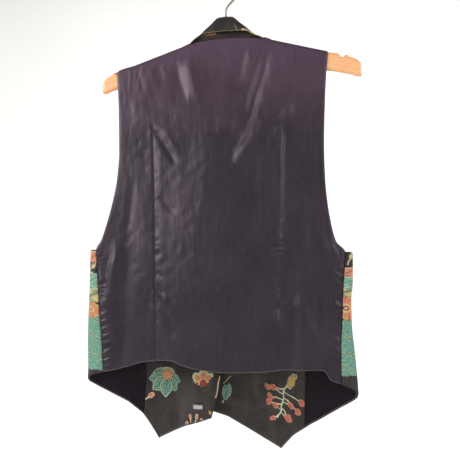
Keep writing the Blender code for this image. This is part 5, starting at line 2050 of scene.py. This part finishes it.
RIGHT_OUTER = motifs(
    (K.BROAD_LEAF, 227, -603, 46.5), (K.FLOWER_FIELD, 226.5, -540, 19, 10, 1.3),
    (K.GOLD_FIELD, 226, -514.5, 8, 0, 3.0), (K.GREEN_FIELD, 224, -498.5, 8.5, 0, 3.0),
    (K.PEACH_FIELD, 223, -483, 7.2, 0, 3.2), (K.HEADED_STALK, 219, -460, 14, 24, 1.2),
    (K.CLUSTER, 140, -560, 44, 16), (K.BERRIES, 70, -690, 50, -10), (K.BLOSSOM, 20, -600, 24),
    (K.LEAF, 58, -612, 24, 40), (K.CLUSTER, 36, -480, 38, 190), (K.LEAF, 112, -440, 33, -42),
    (K.BERRIES, 100, -340, 40, 165), (K.BLOSSOM, 45, -395, 22, 40), (K.LEAF, 138, -385, 22, -30),
    (K.CLUSTER, 112, -240, 38, -10), (K.BUD, 62, -290, 20, 30), (K.HUSK, 142, -300, 15, -20),
    (K.BERRIES, 132, -165, 36, -26), (K.LEAF, 75, -180, 24, 24), (K.BLOSSOM, 172, -480, 22),
    (K.LEAF, 178, -530, 24, 30), (K.HUSK, 160, -650, 20, -20), (K.LEAF, 128, -655, 22, -60),
    (K.LEAF, -12, -540, 22, 20), (K.BUD, -18, -660, 20, -14), (K.BUD, 30, -740, 19, 30),
    (K.LEAF, 178, -690, 19, -20),
)
LEFT_FACING = motifs(
    (K.CLUSTER, -117, -681, 27.5, -4), (K.BUD, -144, -711.5, 13, -52), (K.SIDE_FLOWER, -44, -666.5, 15, 2),
    (K.BUD, -73.5, -756, 8.5, -14), (K.BUD, -65.5, -743, 8.5, 10), (K.BUD, -54, -740, 8.5, -8),
    (K.BUD, -44, -744, 7, 30), (K.HUSK, -30.5, -729, 4.2, 40), (K.STALK, -17.9, -685.5, 19, -12.7),
    (K.BERRIES, -95, -570, 42, 12), (K.CLUSTER, -60, -480, 36, 20), (K.LEAF, -120, -440, 26, -30),
    (K.BLOSSOM, -80, -370, 22), (K.BERRIES, -100, -290, 36, 20), (K.CLUSTER, -90, -190, 33),
)
RIGHT_FACING = motifs(
    (K.LEAF, -6.5, -697, 17.5, -10.5), (K.STALK, -5.7, -677, 10.5, -45), (K.BUD, -13, -715, 5, 160),
    (K.BERRIES, 93.5, -701, 50, -24), (K.BLOSSOM, 45, -620, 23, 30), (K.CLUSTER, 0, -540, 38, 10),
    (K.LEAF, 75, -560, 26, -40), (K.BERRIES, 60, -440, 40, 20), (K.BLOSSOM, 50, -370, 22),
    (K.CLUSTER, 80, -290, 36), (K.BERRIES, 90, -190, 34, -20),
)
LEFT_LAPEL = motifs(
    (K.BLOSSOM, -45, -340, 18), (K.LEAF, -62, -300, 20, -20), (K.CLUSTER, -58, -250, 24, 10),
    (K.BUD, -75, -205, 16, 20), (K.BERRIES, -72, -165, 22, 160), (K.LEAF, -68, -128, 15, 30),
)
RIGHT_LAPEL = motifs(
    (K.BLOSSOM, 8, -340, 18), (K.LEAF, 30, -300, 20, 20), (K.CLUSTER, 34, -252, 24, -10),
    (K.BUD, 52, -205, 16, -20), (K.BERRIES, 62, -165, 22, 200), (K.LEAF, 70, -128, 15, -30),
)
COLLAR = motifs(
    (K.PEACH_FIELD, -29, 8.2, 1.7, 3, 6.5), (K.GOLD_FIELD, 36.5, 29, 3.4, -56, 3.4), (K.BUD, -33, 12, 8, 90),
    (K.BUD, 22, 50, 5, -60), (K.LEAF, 10, 15, 10, 80),
)


def main() -> None:
    """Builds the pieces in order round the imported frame."""
    logging.basicConfig(level=logging.INFO, format="%(name)s: %(message)s")
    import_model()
    form = GarmentForm()
    # The second satin is a near-black copy, painted shade for the linings.
    satin, lining = AUBERGINE.material(), SHADED_LINING_SATIN.material()
    brocade = FloralBrocade().material()
    black_thread = SewingThread("black_thread", (0.012, 0.011, 0.012), (0.05, 0.046, 0.05)).material()
    Studio(PaleStudio().material()).build()
    Hanger(form.board, VarnishedBeech().material(), BrightWire().material()).build()
    # Pale grey-mauve thread for the hem stitches, which paint the highlight of the rolled hem edges.
    pale_highlight_thread = SewingThread("pale_highlight_thread", (0.085, 0.068, 0.078), (0.23, 0.195, 0.205)).material()
    # Gold thread for the collar's edge stitches, partly a painted highlight on the rolled edge.
    gold_edge_highlight_thread = SewingThread("gold_edge_highlight_thread", (0.17, 0.11, 0.045), (0.48, 0.34, 0.15)).material()
    Back(form, satin, pale_highlight_thread).build()
    Front(
        form, "left", brocade, lining, black_thread, pale_highlight_thread, LEFT_OUTER, LEFT_FACING, LEFT_LAPEL, 4, 8, 14.3,
        Cut(0.275, 0.68, 0.128), Cut(0.15, 0.64, 0.078), Cut(0.115, 0.6, 0.0482), Cut(0.045, 0.29, 0.0074),
    ).build()
    Front(
        form, "right", brocade, lining, black_thread, pale_highlight_thread, RIGHT_OUTER, RIGHT_FACING, RIGHT_LAPEL, 3, 9, 13.0,
        Cut(0.275, 0.68, 0.13), Cut(0.175, 0.64, 0.0915), Cut(0.1, 0.6, 0.0376), Cut(0.05, 0.3, 0.0091),
    ).build()
    Collar(form, brocade, gold_edge_highlight_thread, COLLAR).build()
    Closure(form, DarkHorn().material(), black_thread).build()
    SizeTape(form, WovenTape().material(), black_thread).build()


if __name__ == "__main__":
    main()
